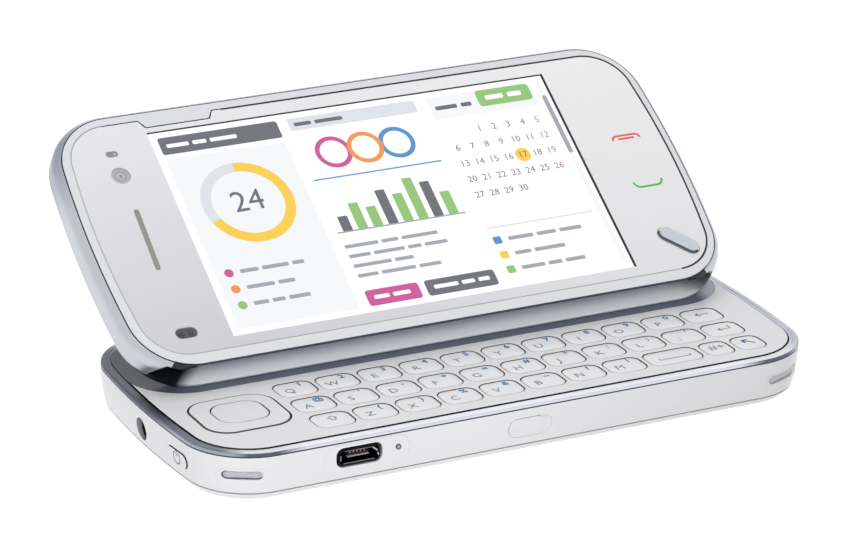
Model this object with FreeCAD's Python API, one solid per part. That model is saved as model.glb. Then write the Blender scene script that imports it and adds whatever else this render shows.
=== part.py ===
"""Slider phone with a lifting, tilting display over a three-row keyboard.

Millimetres, +Z up.  The phone lies open on a table.  The origin is the middle of the base, on the flat of the
battery cover; +X runs along the length to the right of someone typing and +Y points away from them.
Heights in this script are measured from the table, and main() takes FOOT off them at the end.
"""
import FreeCAD, Part
import math
import os

V = FreeCAD.Vector
UP = V(0, 0, 1)

# ---------------------------------------------------------------- driving dimensions
LENGTH = 117.2              # both halves, over the arched ends
DEPTH = 55.3
END_SAG = 2.03              # how far the arched ends stand out past their corners
CORNER = 11.93              # corner radius in plan

FOOT = 2.35                 # underside features that the phone stands on
SEAM_Z = 4.1                # battery cover below, side shell above
SHELL_TOP = 10.74           # side shell below, metal rim above
DECK_Z = 11.65              # keyboard panel and deck surface
RIM_TOP = 11.61
RIM_WIDTH = 1.65
RIM_ROUND = 0.42            # the rim's outer top edge
RIM_STEP_INSET, RIM_STEP = 1.0, 0.12   # its inner band lies a little lower
PANEL_GAP = 0.3             # open groove between the rim and the keyboard panel
WALL_INSET = 1.95           # inner face of the side wall
LEDGE_INSET = 3.2           # the ledge that the panel and the deck lie on
LEDGE_Z = 10.3
FIT_GAP = 0.08              # between fixed plates that lie side by side

SEAM_INSET = 0.78           # the side wall curves in by this much on its way down to the seam
SEAM_GROOVE = 0.13          # both edges at the seam are broken by this much
COVER_ROUND = (1.62, 3.0)   # inset and height halfway round the battery cover's edge
COVER_FLAT_INSET = 3.6
COVER_FLOOR = 3.35

PANEL_BACK = 0.05           # the keyboard panel's straight back edge
DECK_CORNER = 10.0          # the deck's front corners

TILT = 34.18                # the display's slope when it is open
CLOSED_TOP = 18.25          # top of the display above the table when it is shut
OPEN_Y, OPEN_Z = 22.747, 31.06     # middle of the display's face when it is open
DISPLAY_LOW = -6.2          # the display's flat underside, below its face
DISPLAY_ROUND = 1.7         # its lower round
SHOULDER_LOW = -2.5         # the wall is straight up to here
SHOULDER_ROUND = 2.74       # the round above, which turns this far before it meets the bezel
SHOULDER_TURN = 57.0
HOLLOW = [(-25.1, -0.85), (-24.5, -2.5), (-23.7, -4.2)]   # back wall of the hollow along the front, from above
HOLLOW_BACKING = (-21.6, -2.1)     # the solid behind it ends here
SHOULDER_FRONT = -26.3      # the shoulder stops here, so that the bezel overhangs the hollow
DECK_CLEARANCE = 0.12       # under the open display
BEZEL_INSET = 1.45
BEZEL_SEAT = -1.2           # the bezel rests here on the back shell
BEZEL_LEDGE = 0.9           # the window lies on a ledge of this width
BEZEL_CHAMFER = 0.12
CAVITY_INSET = 3.9
CAVITY_FLOOR = -5.4
WINDOW_HALF_LENGTH, WINDOW_HALF_DEPTH = 55.95, 24.5
WINDOW_X, WINDOW_Y = 0.15, 0.2
WINDOW_CORNER = 8.2
WINDOW_GAP = 0.2            # open groove between the window and the bezel
WINDOW_LOW, WINDOW_HIGH = -0.74, -0.02
SCREEN_X, SCREEN_Y = -0.5, -0.29   # middle of the lit area on the display's face
PANEL_SIZE, PANEL_CORNER, PANEL_LOW = (82.0, 45.2), 0.8, -2.0      # the display panel in its frame
DRIVER_HALF, DRIVER_THICK = (27.0, 19.0), 0.8

KEY_PITCH_X, KEY_PITCH_Y = 7.887, 7.178
FIRST_KEY_X, FIRST_KEY_Y = -32.53, -5.49
KEY_LENGTH, KEY_DEPTH, KEY_RADIUS = 7.0, 5.72, 1.8
KEY_GAP = 0.13              # all round a key in its hole
KEY_PROUD = 0.2
FLANGE_LOW, FLANGE_HIGH, FLANGE_OUT = 10.18, 10.48, 0.27
STEM_LOW, STEM_SIDE = 9.9, 2.0

# lift arms, as seen along X: pivots in the base and in the display
FRONT_PIVOT = (-2.0, -4.25)  # on the display: along its slope from the middle, and below its face
REAR_PIVOT = (3.0, -4.4)
BASE_PIVOT_Z = 10.0
PIN_RADIUS = 0.6
BORE_RADIUS = 0.65
KNUCKLE_RADIUS = 1.25
ARM_THICK = 1.4
FRONT_ARM_X, REAR_ARM_X = (38.9, 44.5), (30.5, 35.3)
EAR_THICK, EAR_GAP = 0.8, 0.1
SLOT_LENGTH, SLOT_WIDTH = 2.2, 2.0     # the rear arms' top pins slide in these
SLOT_SHIFT = (-0.415, -0.31)
POCKET_X = (29.0, 46.5)
POCKET_Y = (-8.2, 17.2)
POCKET_ROOF = -2.9
POCKET_WALL = 0.7
OPENING_X = (29.5, 46.1)
OPENING_Y = (4.0, 24.0)
OPENING_CORNER = 1.2
TRAY_LOW, TRAY_HIGH = 8.2, 8.7
TRAY_WALL = 0.5
BRACKET_THICK = 0.5

BOARD_LOW, BOARD_HIGH = 8.3, 9.3
BATTERY_SIZE, BATTERY_CORNER, BATTERY_TOP, BATTERY_X = (53.0, 42.0), 1.5, 8.1, 11.5


# ---------------------------------------------------------------- shape helpers
def line(a, b):
    return Part.LineSegment(a, b).toShape()


def arc(a, m, b):
    return Part.Arc(a, m, b).toShape()


def arched_wire(half_length, half_depth, sag, corner, inset, z, at=(0, 0)):
    """A rounded rectangle whose two short ends are shallow arcs, drawn inset all round."""
    end_radius = (half_depth ** 2 + sag ** 2) / (2 * sag)
    end_x = half_length - end_radius
    corner_y = half_depth - corner
    corner_x = end_x + math.sqrt((end_radius - corner) ** 2 - corner_y ** 2)
    turn = math.atan2(corner_y, corner_x - end_x)
    half_turn = (turn + math.pi / 2) / 2
    long_r, short_r = end_radius - inset, corner - inset

    def place(x, y, sx, sy):
        return V(at[0] + sx * x, at[1] + sy * y, z)

    tip = (half_length - inset, 0)
    join = (end_x + long_r * math.cos(turn), long_r * math.sin(turn))
    middle = (corner_x + short_r * math.cos(half_turn), corner_y + short_r * math.sin(half_turn))
    side = (corner_x, half_depth - inset)
    edges = [
        arc(place(*side, 1, 1), place(*middle, 1, 1), place(*join, 1, 1)),
        arc(place(*join, 1, 1), place(*tip, 1, 1), place(*join, 1, -1)),
        arc(place(*join, 1, -1), place(*middle, 1, -1), place(*side, 1, -1)),
        line(place(*side, 1, -1), place(*side, -1, -1)),
        arc(place(*side, -1, -1), place(*middle, -1, -1), place(*join, -1, -1)),
        arc(place(*join, -1, -1), place(*tip, -1, 1), place(*join, -1, 1)),
        arc(place(*join, -1, 1), place(*middle, -1, 1), place(*side, -1, 1)),
        line(place(*side, -1, 1), place(*side, 1, 1)),
    ]
    return Part.Wire(edges)


def case_wire(inset, z):
    return arched_wire(LENGTH / 2, DEPTH / 2, END_SAG, CORNER, inset, z)


def window_wire(inset, z):
    return arched_wire(WINDOW_HALF_LENGTH, WINDOW_HALF_DEPTH, END_SAG, WINDOW_CORNER, inset, z,
                       (WINDOW_X, WINDOW_Y))


def prism(wire, height):
    return Part.Face(wire).extrude(UP * height)


def case_plate(inset, low, high):
    return prism(case_wire(inset, low), high - low)


def window_plate(inset, low, high):
    return prism(window_wire(inset, low), high - low)


def case_sweep(start, *steps):
    """A ring whose section is carried round the case.

    The section is a closed line of (inset, height) points from start.  A step is the next point, or a pair of
    points for an arc: one that it passes through and the one where it ends.
    """
    spine = case_wire(0, 0)
    origin = spine.OrderedVertexes[0].Point

    def place(point):
        return V(origin.x, origin.y - point[0], point[1])

    edges, last = [], start
    for step in (*steps, start):
        if isinstance(step[0], tuple):
            edges.append(arc(place(last), place(step[0]), place(step[1])))
            last = step[1]
        elif step != last:
            edges.append(line(place(last), place(step)))
            last = step
    return spine.makePipe(Part.Face(Part.Wire(edges)))


def wall_inset(z):
    """How far the curved side wall lies in from the outline at a height."""
    return SEAM_INSET * ((SHELL_TOP - z) / (SHELL_TOP - SEAM_Z)) ** 2


def wall_skin(grow, depth):
    """The side wall's own form from its outer face, moved out by grow, to a depth inside it."""
    middle = (SHELL_TOP + SEAM_Z) / 2
    return case_sweep((-grow, SHELL_TOP), ((wall_inset(middle) - grow, middle), (SEAM_INSET - grow, SEAM_Z)),
                      (depth, SEAM_Z), (depth, SHELL_TOP))


def rounded_wire(length, width, radius, z):
    """A rectangle with round corners about the origin, or a stadium when the radius is half its width."""
    x, y = length / 2, width / 2
    r = min(radius, y)
    d = r * (1 - math.sqrt(0.5))
    stadium = y - r < 1e-6
    p = [V(x - r, y, z), V(x - d, y - d, z), V(x, y - r, z), V(x, -y + r, z), V(x - d, -y + d, z),
         V(x - r, -y, z), V(-x + r, -y, z), V(-x + d, -y + d, z), V(-x, -y + r, z), V(-x, y - r, z),
         V(-x + d, y - d, z), V(-x + r, y, z)]
    if stadium:
        return Part.Wire([arc(p[0], V(x, 0, z), p[5]), line(p[5], p[6]),
                          arc(p[6], V(-x, 0, z), p[11]), line(p[11], p[0])])
    return Part.Wire([arc(p[0], p[1], p[2]), line(p[2], p[3]), arc(p[3], p[4], p[5]), line(p[5], p[6]),
                      arc(p[6], p[7], p[8]), line(p[8], p[9]), arc(p[9], p[10], p[11]), line(p[11], p[0])])


def rounded_block(length, width, radius, low, high, at=(0, 0)):
    block = prism(rounded_wire(length, width, radius, low), high - low)
    block.translate(V(at[0], at[1], 0))
    return block


def box(x, y, z):
    """A box from three (low, high) pairs."""
    return Part.makeBox(x[1] - x[0], y[1] - y[0], z[1] - z[0], V(x[0], y[0], z[0]))


def bar(radius, x, y, z):
    """A round bar along X."""
    return Part.makeCylinder(radius, x[1] - x[0], V(x[0], y, z), V(1, 0, 0))


def edges_at(shape, z):
    return [e for e in shape.Edges if abs(e.BoundBox.ZMin - z) < 1e-6 and abs(e.BoundBox.ZMax - z) < 1e-6]


def joined(first, *others):
    return first.fuse(list(others)).removeSplitter()


def both_sides(shape):
    return [shape, shape.mirror(V(0, 0, 0), V(1, 0, 0))]


def wall_block(length, height, radius, outward_deg, at, start, end):
    """A rounded block that runs from start to end along the outward direction of a side wall at a point."""
    block = rounded_block(length, height, radius, start, end)
    block.rotate(V(0, 0, 0), V(1, 0, 0), 90)          # its length along X, its height along Z, it runs to -Y
    block.rotate(V(0, 0, 0), UP, outward_deg + 90)
    block.translate(V(*at))
    return block


# ---------------------------------------------------------------- places that the pieces share
def on_display(y, h):
    """Y and Z in the open pose of a point on the display's own slope."""
    c, s = math.cos(math.radians(TILT)), math.sin(math.radians(TILT))
    return OPEN_Y + y * c - h * s, OPEN_Z + y * s + h * c


def raise_display(shape):
    """Takes a shape from the display's own frame, with its face in the XY plane, to the open pose."""
    shape = shape.copy()
    shape.rotate(V(0, 0, 0), V(1, 0, 0), TILT)
    shape.translate(V(0, OPEN_Y, OPEN_Z))
    return shape


def base_pivot(display_pivot, z):
    """The point at a given height that is as far from the open display pivot as from the shut one."""
    y1, z1 = on_display(*display_pivot)
    y2, z2 = display_pivot[0], CLOSED_TOP + display_pivot[1]
    return ((y1 ** 2 - y2 ** 2) + (z - z1) ** 2 - (z - z2) ** 2) / (2 * (y1 - y2)), z


def swing(display_pivot, pivot):
    """Arm length, and the arm's slope when open and when shut."""
    y1, z1 = on_display(*display_pivot)
    y2, z2 = display_pivot[0], CLOSED_TOP + display_pivot[1]
    length = math.hypot(y1 - pivot[0], z1 - pivot[1])
    return (length, math.degrees(math.atan2(z1 - pivot[1], y1 - pivot[0])),
            math.degrees(math.atan2(z2 - pivot[1], y2 - pivot[0])))


FRONT_BASE = base_pivot(FRONT_PIVOT, BASE_PIVOT_Z)
REAR_BASE = base_pivot(REAR_PIVOT, BASE_PIVOT_Z)


# ---------------------------------------------------------------- keyboard
ROWS = [
    ["q", "w", "e", "r", "t", "y", "u", "i", "o", "p", "backspace"],
    ["a", "s", "d", "f", "g", "h", "j", "k", "l", "colon", "enter"],
    ["shift", "z", "x", "c", "v", "b", "n", "m"],
]
WIDE_KEYS = [("space", 32.15, 10.1), ("symbols", 40.85, 5.3), ("function", 47.15, 5.4)]  # name, middle, length
PAD_X, PAD_Y, PAD_LENGTH, PAD_DEPTH, PAD_RADIUS = -45.4, -11.15, 15.3, 13.9, 4.2
SELECT_X, SELECT_Y, SELECT_LENGTH, SELECT_DEPTH, SELECT_RADIUS = -45.1, -10.65, 9.0, 7.9, 2.9
PAD_GAP = 0.22
PAD_LOW, PAD_PROUD, PAD_CHAMFER = 10.9, 0.1, 0.2
SELECT_LOW, SELECT_CHAMFER = 10.3, 0.16
CARRIER_LOW, CARRIER_HIGH = 10.1, 10.45
CARRIER_IN, CARRIER_HOLE = 0.6, 0.5     # its edge inside the ring's, its hole's edge outside the select key's


def key_places():
    """Every typing key as name, middle X, middle Y and length."""
    places = []
    for row, names in enumerate(ROWS):
        y = FIRST_KEY_Y - KEY_PITCH_Y * row
        places += [(name, FIRST_KEY_X + KEY_PITCH_X * i, y, KEY_LENGTH) for i, name in enumerate(names)]
    return places + [(name, x, y, length) for name, x, length in WIDE_KEYS]


def make_key(x, y, length):
    """A cap through the panel, a flange that keeps it in, and the stem that presses its switch."""
    top = DECK_Z + KEY_PROUD
    cap = rounded_block(length, KEY_DEPTH, KEY_RADIUS, FLANGE_HIGH, top)
    wide, deep, half = length / 2 + FLANGE_OUT, KEY_DEPTH / 2 + FLANGE_OUT, STEM_SIDE / 2
    key = joined(cap, box((-wide, wide), (-deep, deep), (FLANGE_LOW, FLANGE_HIGH)),
                 box((-half, half), (-half, half), (STEM_LOW, FLANGE_LOW)))
    key.translate(V(x, y, 0))
    return key


def make_pad_ring():
    top = DECK_Z + PAD_PROUD
    ring = rounded_block(PAD_LENGTH, PAD_DEPTH, PAD_RADIUS, PAD_LOW, top)
    ring = ring.makeChamfer(PAD_CHAMFER, edges_at(ring, top))
    ring.translate(V(PAD_X, PAD_Y, 0))
    hole = rounded_block(SELECT_LENGTH + 2 * PAD_GAP, SELECT_DEPTH + 2 * PAD_GAP, SELECT_RADIUS + PAD_GAP,
                         PAD_LOW - 1, top + 1, (SELECT_X, SELECT_Y))
    return ring.cut(hole)


def make_pad_carrier():
    """The hidden gimbal plate under the ring: the ring tips sideways on it, and it tips fore and aft."""
    plate = rounded_block(PAD_LENGTH - 2 * CARRIER_IN, PAD_DEPTH - 2 * CARRIER_IN, PAD_RADIUS - CARRIER_IN,
                          CARRIER_LOW, CARRIER_HIGH, (PAD_X, PAD_Y))
    hole = rounded_block(SELECT_LENGTH + 2 * CARRIER_HOLE, SELECT_DEPTH + 2 * CARRIER_HOLE,
                         SELECT_RADIUS + CARRIER_HOLE, CARRIER_LOW - 1, CARRIER_HIGH + 1, (SELECT_X, SELECT_Y))
    return plate.cut(hole)


def make_select_key():
    top, half = DECK_Z + KEY_PROUD, STEM_SIDE / 2
    cap = rounded_block(SELECT_LENGTH, SELECT_DEPTH, SELECT_RADIUS, SELECT_LOW, top)
    cap = cap.makeChamfer(SELECT_CHAMFER, edges_at(cap, top))
    stem = box((-half, half), (-half, half), (STEM_LOW, SELECT_LOW))
    key = joined(cap, stem)
    key.translate(V(SELECT_X, SELECT_Y, 0))
    return key


# ---------------------------------------------------------------- base
def deck_region(front, corner, low, high, inset):
    """The plate behind the keyboard: the rim's inner outline cut straight, with round front corners."""
    plate = case_plate(inset, low, high).common(box((-LENGTH, LENGTH), (front, DEPTH), (low, high)))
    upright = [e for e in plate.Edges
               if abs(e.BoundBox.YMax - front) < 1e-4 and e.BoundBox.ZLength > 0.5 * (high - low)]
    return plate.makeFillet(corner, upright)


def make_keyboard_panel():
    panel = case_plate(RIM_WIDTH + PANEL_GAP, SHELL_TOP, DECK_Z)
    panel = panel.cut(deck_region(PANEL_BACK - FIT_GAP, DECK_CORNER + FIT_GAP, SHELL_TOP - 1, DECK_Z + 1,
                                  RIM_WIDTH))
    low, high, grow = SHELL_TOP - 1, DECK_Z + 1, 2 * KEY_GAP
    holes = [rounded_block(length + grow, KEY_DEPTH + grow, KEY_RADIUS + KEY_GAP, low, high, (x, y))
             for _, x, y, length in key_places()]
    holes.append(rounded_block(PAD_LENGTH + 2 * PAD_GAP, PAD_DEPTH + 2 * PAD_GAP, PAD_RADIUS + PAD_GAP,
                               low, high, (PAD_X, PAD_Y)))
    return panel.cut(holes)


def make_deck_plate():
    deck = deck_region(PANEL_BACK, DECK_CORNER, SHELL_TOP, DECK_Z, RIM_WIDTH + FIT_GAP)
    opening = rounded_block(OPENING_X[1] - OPENING_X[0], OPENING_Y[1] - OPENING_Y[0], OPENING_CORNER,
                            SHELL_TOP - 1, DECK_Z + 1, (sum(OPENING_X) / 2, sum(OPENING_Y) / 2))
    return deck.cut(both_sides(opening))


def make_base_rim():
    """A band with a rounded outer edge and a lower inner step."""
    r, low_edge = RIM_ROUND, RIM_STEP
    halfway = r * (1 - math.sqrt(0.5))
    return case_sweep((low_edge, SHELL_TOP), (0, SHELL_TOP + low_edge), (0, RIM_TOP - r),
                      ((halfway, RIM_TOP - halfway), (r, RIM_TOP)), (RIM_STEP_INSET, RIM_TOP),
                      (RIM_STEP_INSET + RIM_STEP, RIM_TOP - RIM_STEP), (RIM_WIDTH, RIM_TOP - RIM_STEP),
                      (RIM_WIDTH, SHELL_TOP))


# side-wall features: length along the wall, height, outward direction in degrees, and a point on the wall
USB_AT, USB_OPENING = (-31.2, -27.6, 7.95), (8.4, 3.5)
USB_SOCKET, USB_SOCKET_WALL, USB_DEPTH = (7.6, 2.9), 0.35, 5.15     # its steel shell
USB_CORNER = 1.3
USB_RECESS_X, USB_RECESS = -30.0, (16.0, 5.2)
LIGHT_X, LIGHT_Z, LIGHT_RADIUS = -24.1, 8.15, 0.5
LOCK_AT, LOCK_WINDOW, LOCK_LENGTH = (0.45, -27.6, 7.4), (8.4, 3.6), 6.9
LOCK_DEPTH, LOCK_TRAVEL, LOCK_STEM = 0.6, 1.3, (3.0, 1.6)      # its shallow pocket, its way, its stem
LOCK_LIFT, LOCK_PROUD, LOCK_PLATE = 0.03, 0.02, (-2.7, -2.1)
JACK_AT, JACK_HOLE, JACK_RADIUS, JACK_BODY = (-58.6, -0.3, 7.05), 2.0, 1.8, 2.4
JACK_FACE_X, JACK_BORE_END_X, JACK_END_X = -57.4, -44.5, -43.5
POWER_AT, POWER_SIZE, POWER_DEG = (-58.05, -14.1, 7.35), (6.5, 2.4), 184.3
VOLUME_AT, VOLUME_SIZE = (-29.0, 27.6, 7.5), (17.0, 2.7)
SHUTTER_AT, SHUTTER_SIZE = (34.0, 27.6, 7.5), (10.4, 3.0)
SPEAKERS = [((-51.85, -26.1, 7.45), 240.5), ((50.7, -26.67, 7.15), 293.4)]
SPEAKER_SLOT, SPEAKER_RECESS = (6.7, 1.5), (8.7, 2.8)
RECESS_DEPTH = 0.42
BUTTON_GAP = 0.12
BUTTON_FLANGE, BUTTON_FLANGE_OUT = 0.6, 0.5      # thickness and width of the flange behind the wall
SUPPORTS = [(-56.0, 8.4), (-56.0, -8.4), (56.0, 8.4), (56.0, -8.4)]    # posts under the circuit board
POST_HALF, POST_LOW = (3.5, 1.2), 7.3


def button(size, radius, outward_deg, at, proud, flange_back):
    """A side button whose face follows the wall, with a flange behind the wall."""
    cap = wall_block(size[0], size[1], radius, outward_deg, at, -flange_back, 3)
    cap = cap.common(wall_skin(proud, 6.0))
    grown = [side + 2 * BUTTON_FLANGE_OUT for side in size]
    flange = wall_block(*grown, radius, outward_deg, at, -flange_back - BUTTON_FLANGE, -flange_back)
    return joined(cap, flange)


def lock_x():
    """Middle of the lock slider, which rests at the left end of its window."""
    return LOCK_AT[0] - (LOCK_WINDOW[0] - LOCK_LENGTH) / 2 + BUTTON_GAP / 2


def button_window(size, radius, outward_deg, at):
    grown = [side + 2 * BUTTON_GAP for side in size]
    return wall_block(*grown, radius + BUTTON_GAP, outward_deg, at, -6, 3)


def make_side_shell():
    foot = SEAM_Z + SEAM_GROOVE
    middle = (SHELL_TOP + foot) / 2
    shell = case_sweep((0, SHELL_TOP), ((wall_inset(middle), middle), (wall_inset(foot), foot)),
                       (SEAM_INSET + SEAM_GROOVE, SEAM_Z), (WALL_INSET, SEAM_Z), (WALL_INSET, LEDGE_Z),
                       (LEDGE_INSET, LEDGE_Z), (LEDGE_INSET, SHELL_TOP))
    posts = []
    half_x, half_y = POST_HALF
    for x, y in SUPPORTS:
        post = box((x - half_x, x + half_x), (y - half_y, y + half_y), (POST_LOW, BOARD_LOW))
        posts.append(post.common(case_plate(WALL_INSET / 2, POST_LOW, BOARD_LOW)))
    shell = joined(shell, *posts)
    core, lock_core = (case_plate(depth, SEAM_Z, SHELL_TOP) for depth in (RECESS_DEPTH, LOCK_DEPTH))
    recesses = [wall_block(USB_RECESS[0], USB_RECESS[1], USB_RECESS[1] / 2, 270,
                           (USB_RECESS_X, USB_AT[1], USB_AT[2]), -2, 2)]
    recesses += [wall_block(*SPEAKER_RECESS, SPEAKER_RECESS[1] / 2, deg, at, -3, 3) for at, deg in SPEAKERS]
    lock_pocket = wall_block(*LOCK_WINDOW, LOCK_WINDOW[1] / 2, 270, LOCK_AT, -2, 2)
    shell = shell.cut([recess.cut(core) for recess in recesses] + [lock_pocket.cut(lock_core)])
    cuts = [wall_block(*USB_OPENING, USB_CORNER, 270, USB_AT, -6, 3),
            Part.makeCylinder(LIGHT_RADIUS, 8, V(LIGHT_X, USB_AT[1] - 2, LIGHT_Z), V(0, 1, 0)),
            wall_block(LOCK_STEM[0] + LOCK_TRAVEL + 2 * BUTTON_GAP, LOCK_STEM[1] + 2 * BUTTON_GAP,
                       LOCK_STEM[1] / 2 + BUTTON_GAP, 270, (lock_x() + LOCK_TRAVEL / 2, *LOCK_AT[1:]), -6, 3),
            bar(JACK_HOLE, (-LENGTH, JACK_END_X), *JACK_AT[1:]),
            bar(JACK_BODY, (JACK_FACE_X, JACK_END_X), *JACK_AT[1:]),
            button_window(POWER_SIZE, POWER_SIZE[1] / 2, POWER_DEG, POWER_AT),
            button_window(VOLUME_SIZE, VOLUME_SIZE[1] / 2, 90, VOLUME_AT),
            button_window(SHUTTER_SIZE, SHUTTER_SIZE[1] / 2, 90, SHUTTER_AT)]
    cuts += [wall_block(*SPEAKER_SLOT, SPEAKER_SLOT[1] / 2, deg, at, -6, 3) for at, deg in SPEAKERS]
    return shell.cut(cuts)


ISLAND_X, ISLAND_Y = (-47.5, -16.5), (-16.0, 16.0)
COVER_TRACK_X, COVER_TRACK_Y = (-44.5, -19.5), (-7.6, 7.6)
LENS_X = -37.5
LENS_BORE, LENS_GAP = 4.1, 0.1
LENS_LOW, LENS_SEAT, LENS_SEAT_DEPTH = 1.75, 2.4, 0.3    # the barrel's end, with a seat for the front glass
SENSOR_HALF, SENSOR_TOP = 5.2, 7.6
SLIDE_TRAVEL = 11.0
RIDGE_X, RIDGE_Y = (42.0, 50.0), (-19.0, 19.0)
TONGUE_THICK, TONGUE_HIGH = 0.8, 0.45    # the cover's rim that plugs into the side shell


def make_battery_cover():
    inner, top = WALL_INSET + TONGUE_THICK, SEAM_Z + TONGUE_HIGH
    edge = case_sweep((SEAM_INSET + SEAM_GROOVE, SEAM_Z), (SEAM_INSET + SEAM_GROOVE / 2, SEAM_Z - SEAM_GROOVE),
                      (COVER_ROUND, (COVER_FLAT_INSET, FOOT)), (COVER_FLAT_INSET, COVER_FLOOR),
                      (inner, COVER_FLOOR), (inner, top), (WALL_INSET, top), (WALL_INSET, SEAM_Z))
    island = rounded_block(ISLAND_X[1] - ISLAND_X[0], ISLAND_Y[1] - ISLAND_Y[0], 7.0, 0, COVER_FLOOR,
                           (sum(ISLAND_X) / 2, 0))
    island = island.makeChamfer(0.9, edges_at(island, 0))
    ridge = rounded_block(RIDGE_Y[1] - RIDGE_Y[0], RIDGE_X[1] - RIDGE_X[0], 3.9, 0, COVER_FLOOR)
    ridge = ridge.makeChamfer(1.3, edges_at(ridge, 0))
    ridge.rotate(V(0, 0, 0), UP, 90)
    ridge.translate(V(sum(RIDGE_X) / 2, 0, 0))
    cover = joined(edge, case_plate(COVER_FLAT_INSET, FOOT, COVER_FLOOR), island, ridge)
    # the lens cover's track: an open slot below, with a wider groove above it
    middle = (sum(COVER_TRACK_X) / 2, 0)
    length, width = COVER_TRACK_X[1] - COVER_TRACK_X[0], COVER_TRACK_Y[1] - COVER_TRACK_Y[0]
    slot = rounded_block(length, width, 2.0, -1, 1.6, middle)
    groove = rounded_block(length, width + 2.0, 2.0, 0.75, 1.3, middle)
    lens_hole = Part.makeCylinder(LENS_BORE, 6, V(LENS_X, 0, -1), UP)
    return cover.cut([slot, groove, lens_hole])


def make_camera_cover():
    x = (COVER_TRACK_X[0] + 0.15, COVER_TRACK_X[1] - 0.15 - SLIDE_TRAVEL)
    middle = (sum(x) / 2, 0)
    width = COVER_TRACK_Y[1] - COVER_TRACK_Y[0]
    plate = rounded_block(x[1] - x[0], width - 0.3, 1.9, 0.2, 1.2, middle)
    guides = rounded_block(x[1] - x[0], width + 1.7, 1.9, 0.85, 1.2, middle)
    grips = [box((x[1] - 3.0 + 0.9 * i, x[1] - 2.6 + 0.9 * i), (-4.5, 4.5), (0.0, 0.45)) for i in range(3)]
    return joined(plate, guides).cut(grips)


def make_camera_module():
    """A square sensor housing on the cover's floor, with the lens barrel that reaches down through it."""
    end = V(LENS_X, 0, LENS_LOW)
    barrel = Part.makeCylinder(LENS_BORE - LENS_GAP, COVER_FLOOR - LENS_LOW, end, UP)
    half = SENSOR_HALF
    housing = box((LENS_X - half, LENS_X + half), (-half, half), (COVER_FLOOR, SENSOR_TOP))
    glass_seat = Part.makeCylinder(LENS_SEAT, LENS_SEAT_DEPTH, end, UP)
    return joined(barrel, housing).cut(glass_seat)


def make_usb_socket():
    """A steel shell, set a little behind the wall's face, with the contact tongue in it."""
    x, y, z = USB_AT
    shell = wall_block(*USB_SOCKET, 0.8, 270, USB_AT, -RECESS_DEPTH - USB_DEPTH, -RECESS_DEPTH)
    inner = [side - 2 * USB_SOCKET_WALL for side in USB_SOCKET]
    room = wall_block(*inner, 0.8 - USB_SOCKET_WALL, 270, USB_AT, -USB_DEPTH, 1)
    tongue = box((x - 2.0, x + 2.0), (y + 1.1, y + USB_DEPTH + 0.1), (z + 0.1, z + 0.7))
    return joined(shell.cut(room), tongue)


def make_audio_jack():
    x, y, z = JACK_AT
    return bar(JACK_BODY, (JACK_FACE_X, JACK_END_X), y, z).cut(bar(JACK_RADIUS, (x, JACK_BORE_END_X), y, z))


def make_power_key():
    return button(POWER_SIZE, POWER_SIZE[1] / 2, POWER_DEG, POWER_AT, 0.2, 2.9)


def make_volume_rocker():
    return button(VOLUME_SIZE, VOLUME_SIZE[1] / 2, 90, VOLUME_AT, 0.3, 2.5)


def make_camera_key():
    return button(SHUTTER_SIZE, SHUTTER_SIZE[1] / 2, 90, SHUTTER_AT, 0.3, 2.3)


def make_lock_slider():
    """A thin cap that fills all of its pocket but the last stretch, its stem and the plate behind the wall."""
    length = LOCK_LENGTH - BUTTON_GAP
    height = LOCK_WINDOW[1] - 2 * BUTTON_GAP
    at = (lock_x(), *LOCK_AT[1:])
    floor = LOCK_AT[1] + DEPTH / 2 - LOCK_DEPTH + LOCK_LIFT
    cap = wall_block(length, height, height / 2, 270, at, floor, 3).common(wall_skin(LOCK_PROUD, 6.0))
    stem = wall_block(*LOCK_STEM, LOCK_STEM[1] / 2, 270, at, LOCK_PLATE[1], floor)
    plate = wall_block(length, height, height / 2, 270, at, *LOCK_PLATE)
    return joined(cap, stem, plate)


def make_circuit_board():
    board = case_plate(WALL_INSET + 0.05, BOARD_LOW, BOARD_HIGH)
    x = POCKET_X[0] - 0.3
    keep = [box((-70, 70), (-30, 2.2), (8, 10)), box((-x, x), (2.2, 23.5), (8, 10))]
    board = board.common(joined(*keep))
    half_usb, usb_y = USB_SOCKET[0] / 2, (-30, USB_AT[1] + USB_DEPTH + RECESS_DEPTH)
    cut_outs = [box((USB_AT[0] - half_usb, USB_AT[0] + half_usb), usb_y, (8, 10)),
                box((-62, JACK_END_X), (JACK_AT[1] - JACK_BODY, JACK_AT[1] + JACK_BODY), (8, 10)),
                box((-62, -52.6), (-19, -9.6), (8, 10)),
                box((-6.5, 6.5), (-30, -24.0), (8, 10))]
    return board.cut(cut_outs)


def make_battery():
    return rounded_block(*BATTERY_SIZE, BATTERY_CORNER, COVER_FLOOR, BATTERY_TOP, (BATTERY_X, 0))


# ---------------------------------------------------------------- lift mechanism
def ear(x, y, z, foot, radius=KNUCKLE_RADIUS):
    """An upright lug round a pivot, from its foot to its round top; foot may be below or above."""
    body = box(x, (y - radius, y + radius), (min(foot, z), max(foot, z)))
    return joined(bar(radius, x, y, z), body)


def ear_pair(arm_x, y, z, foot, radius=KNUCKLE_RADIUS):
    inner = (arm_x[0] - EAR_GAP - EAR_THICK, arm_x[0] - EAR_GAP)
    outer = (arm_x[1] + EAR_GAP, arm_x[1] + EAR_GAP + EAR_THICK)
    return [ear(inner, y, z, foot, radius), ear(outer, y, z, foot, radius)]


def pin(arm_x, y, z):
    return bar(PIN_RADIUS, (arm_x[0] - EAR_GAP - EAR_THICK, arm_x[1] + EAR_GAP + EAR_THICK), y, z)


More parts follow.
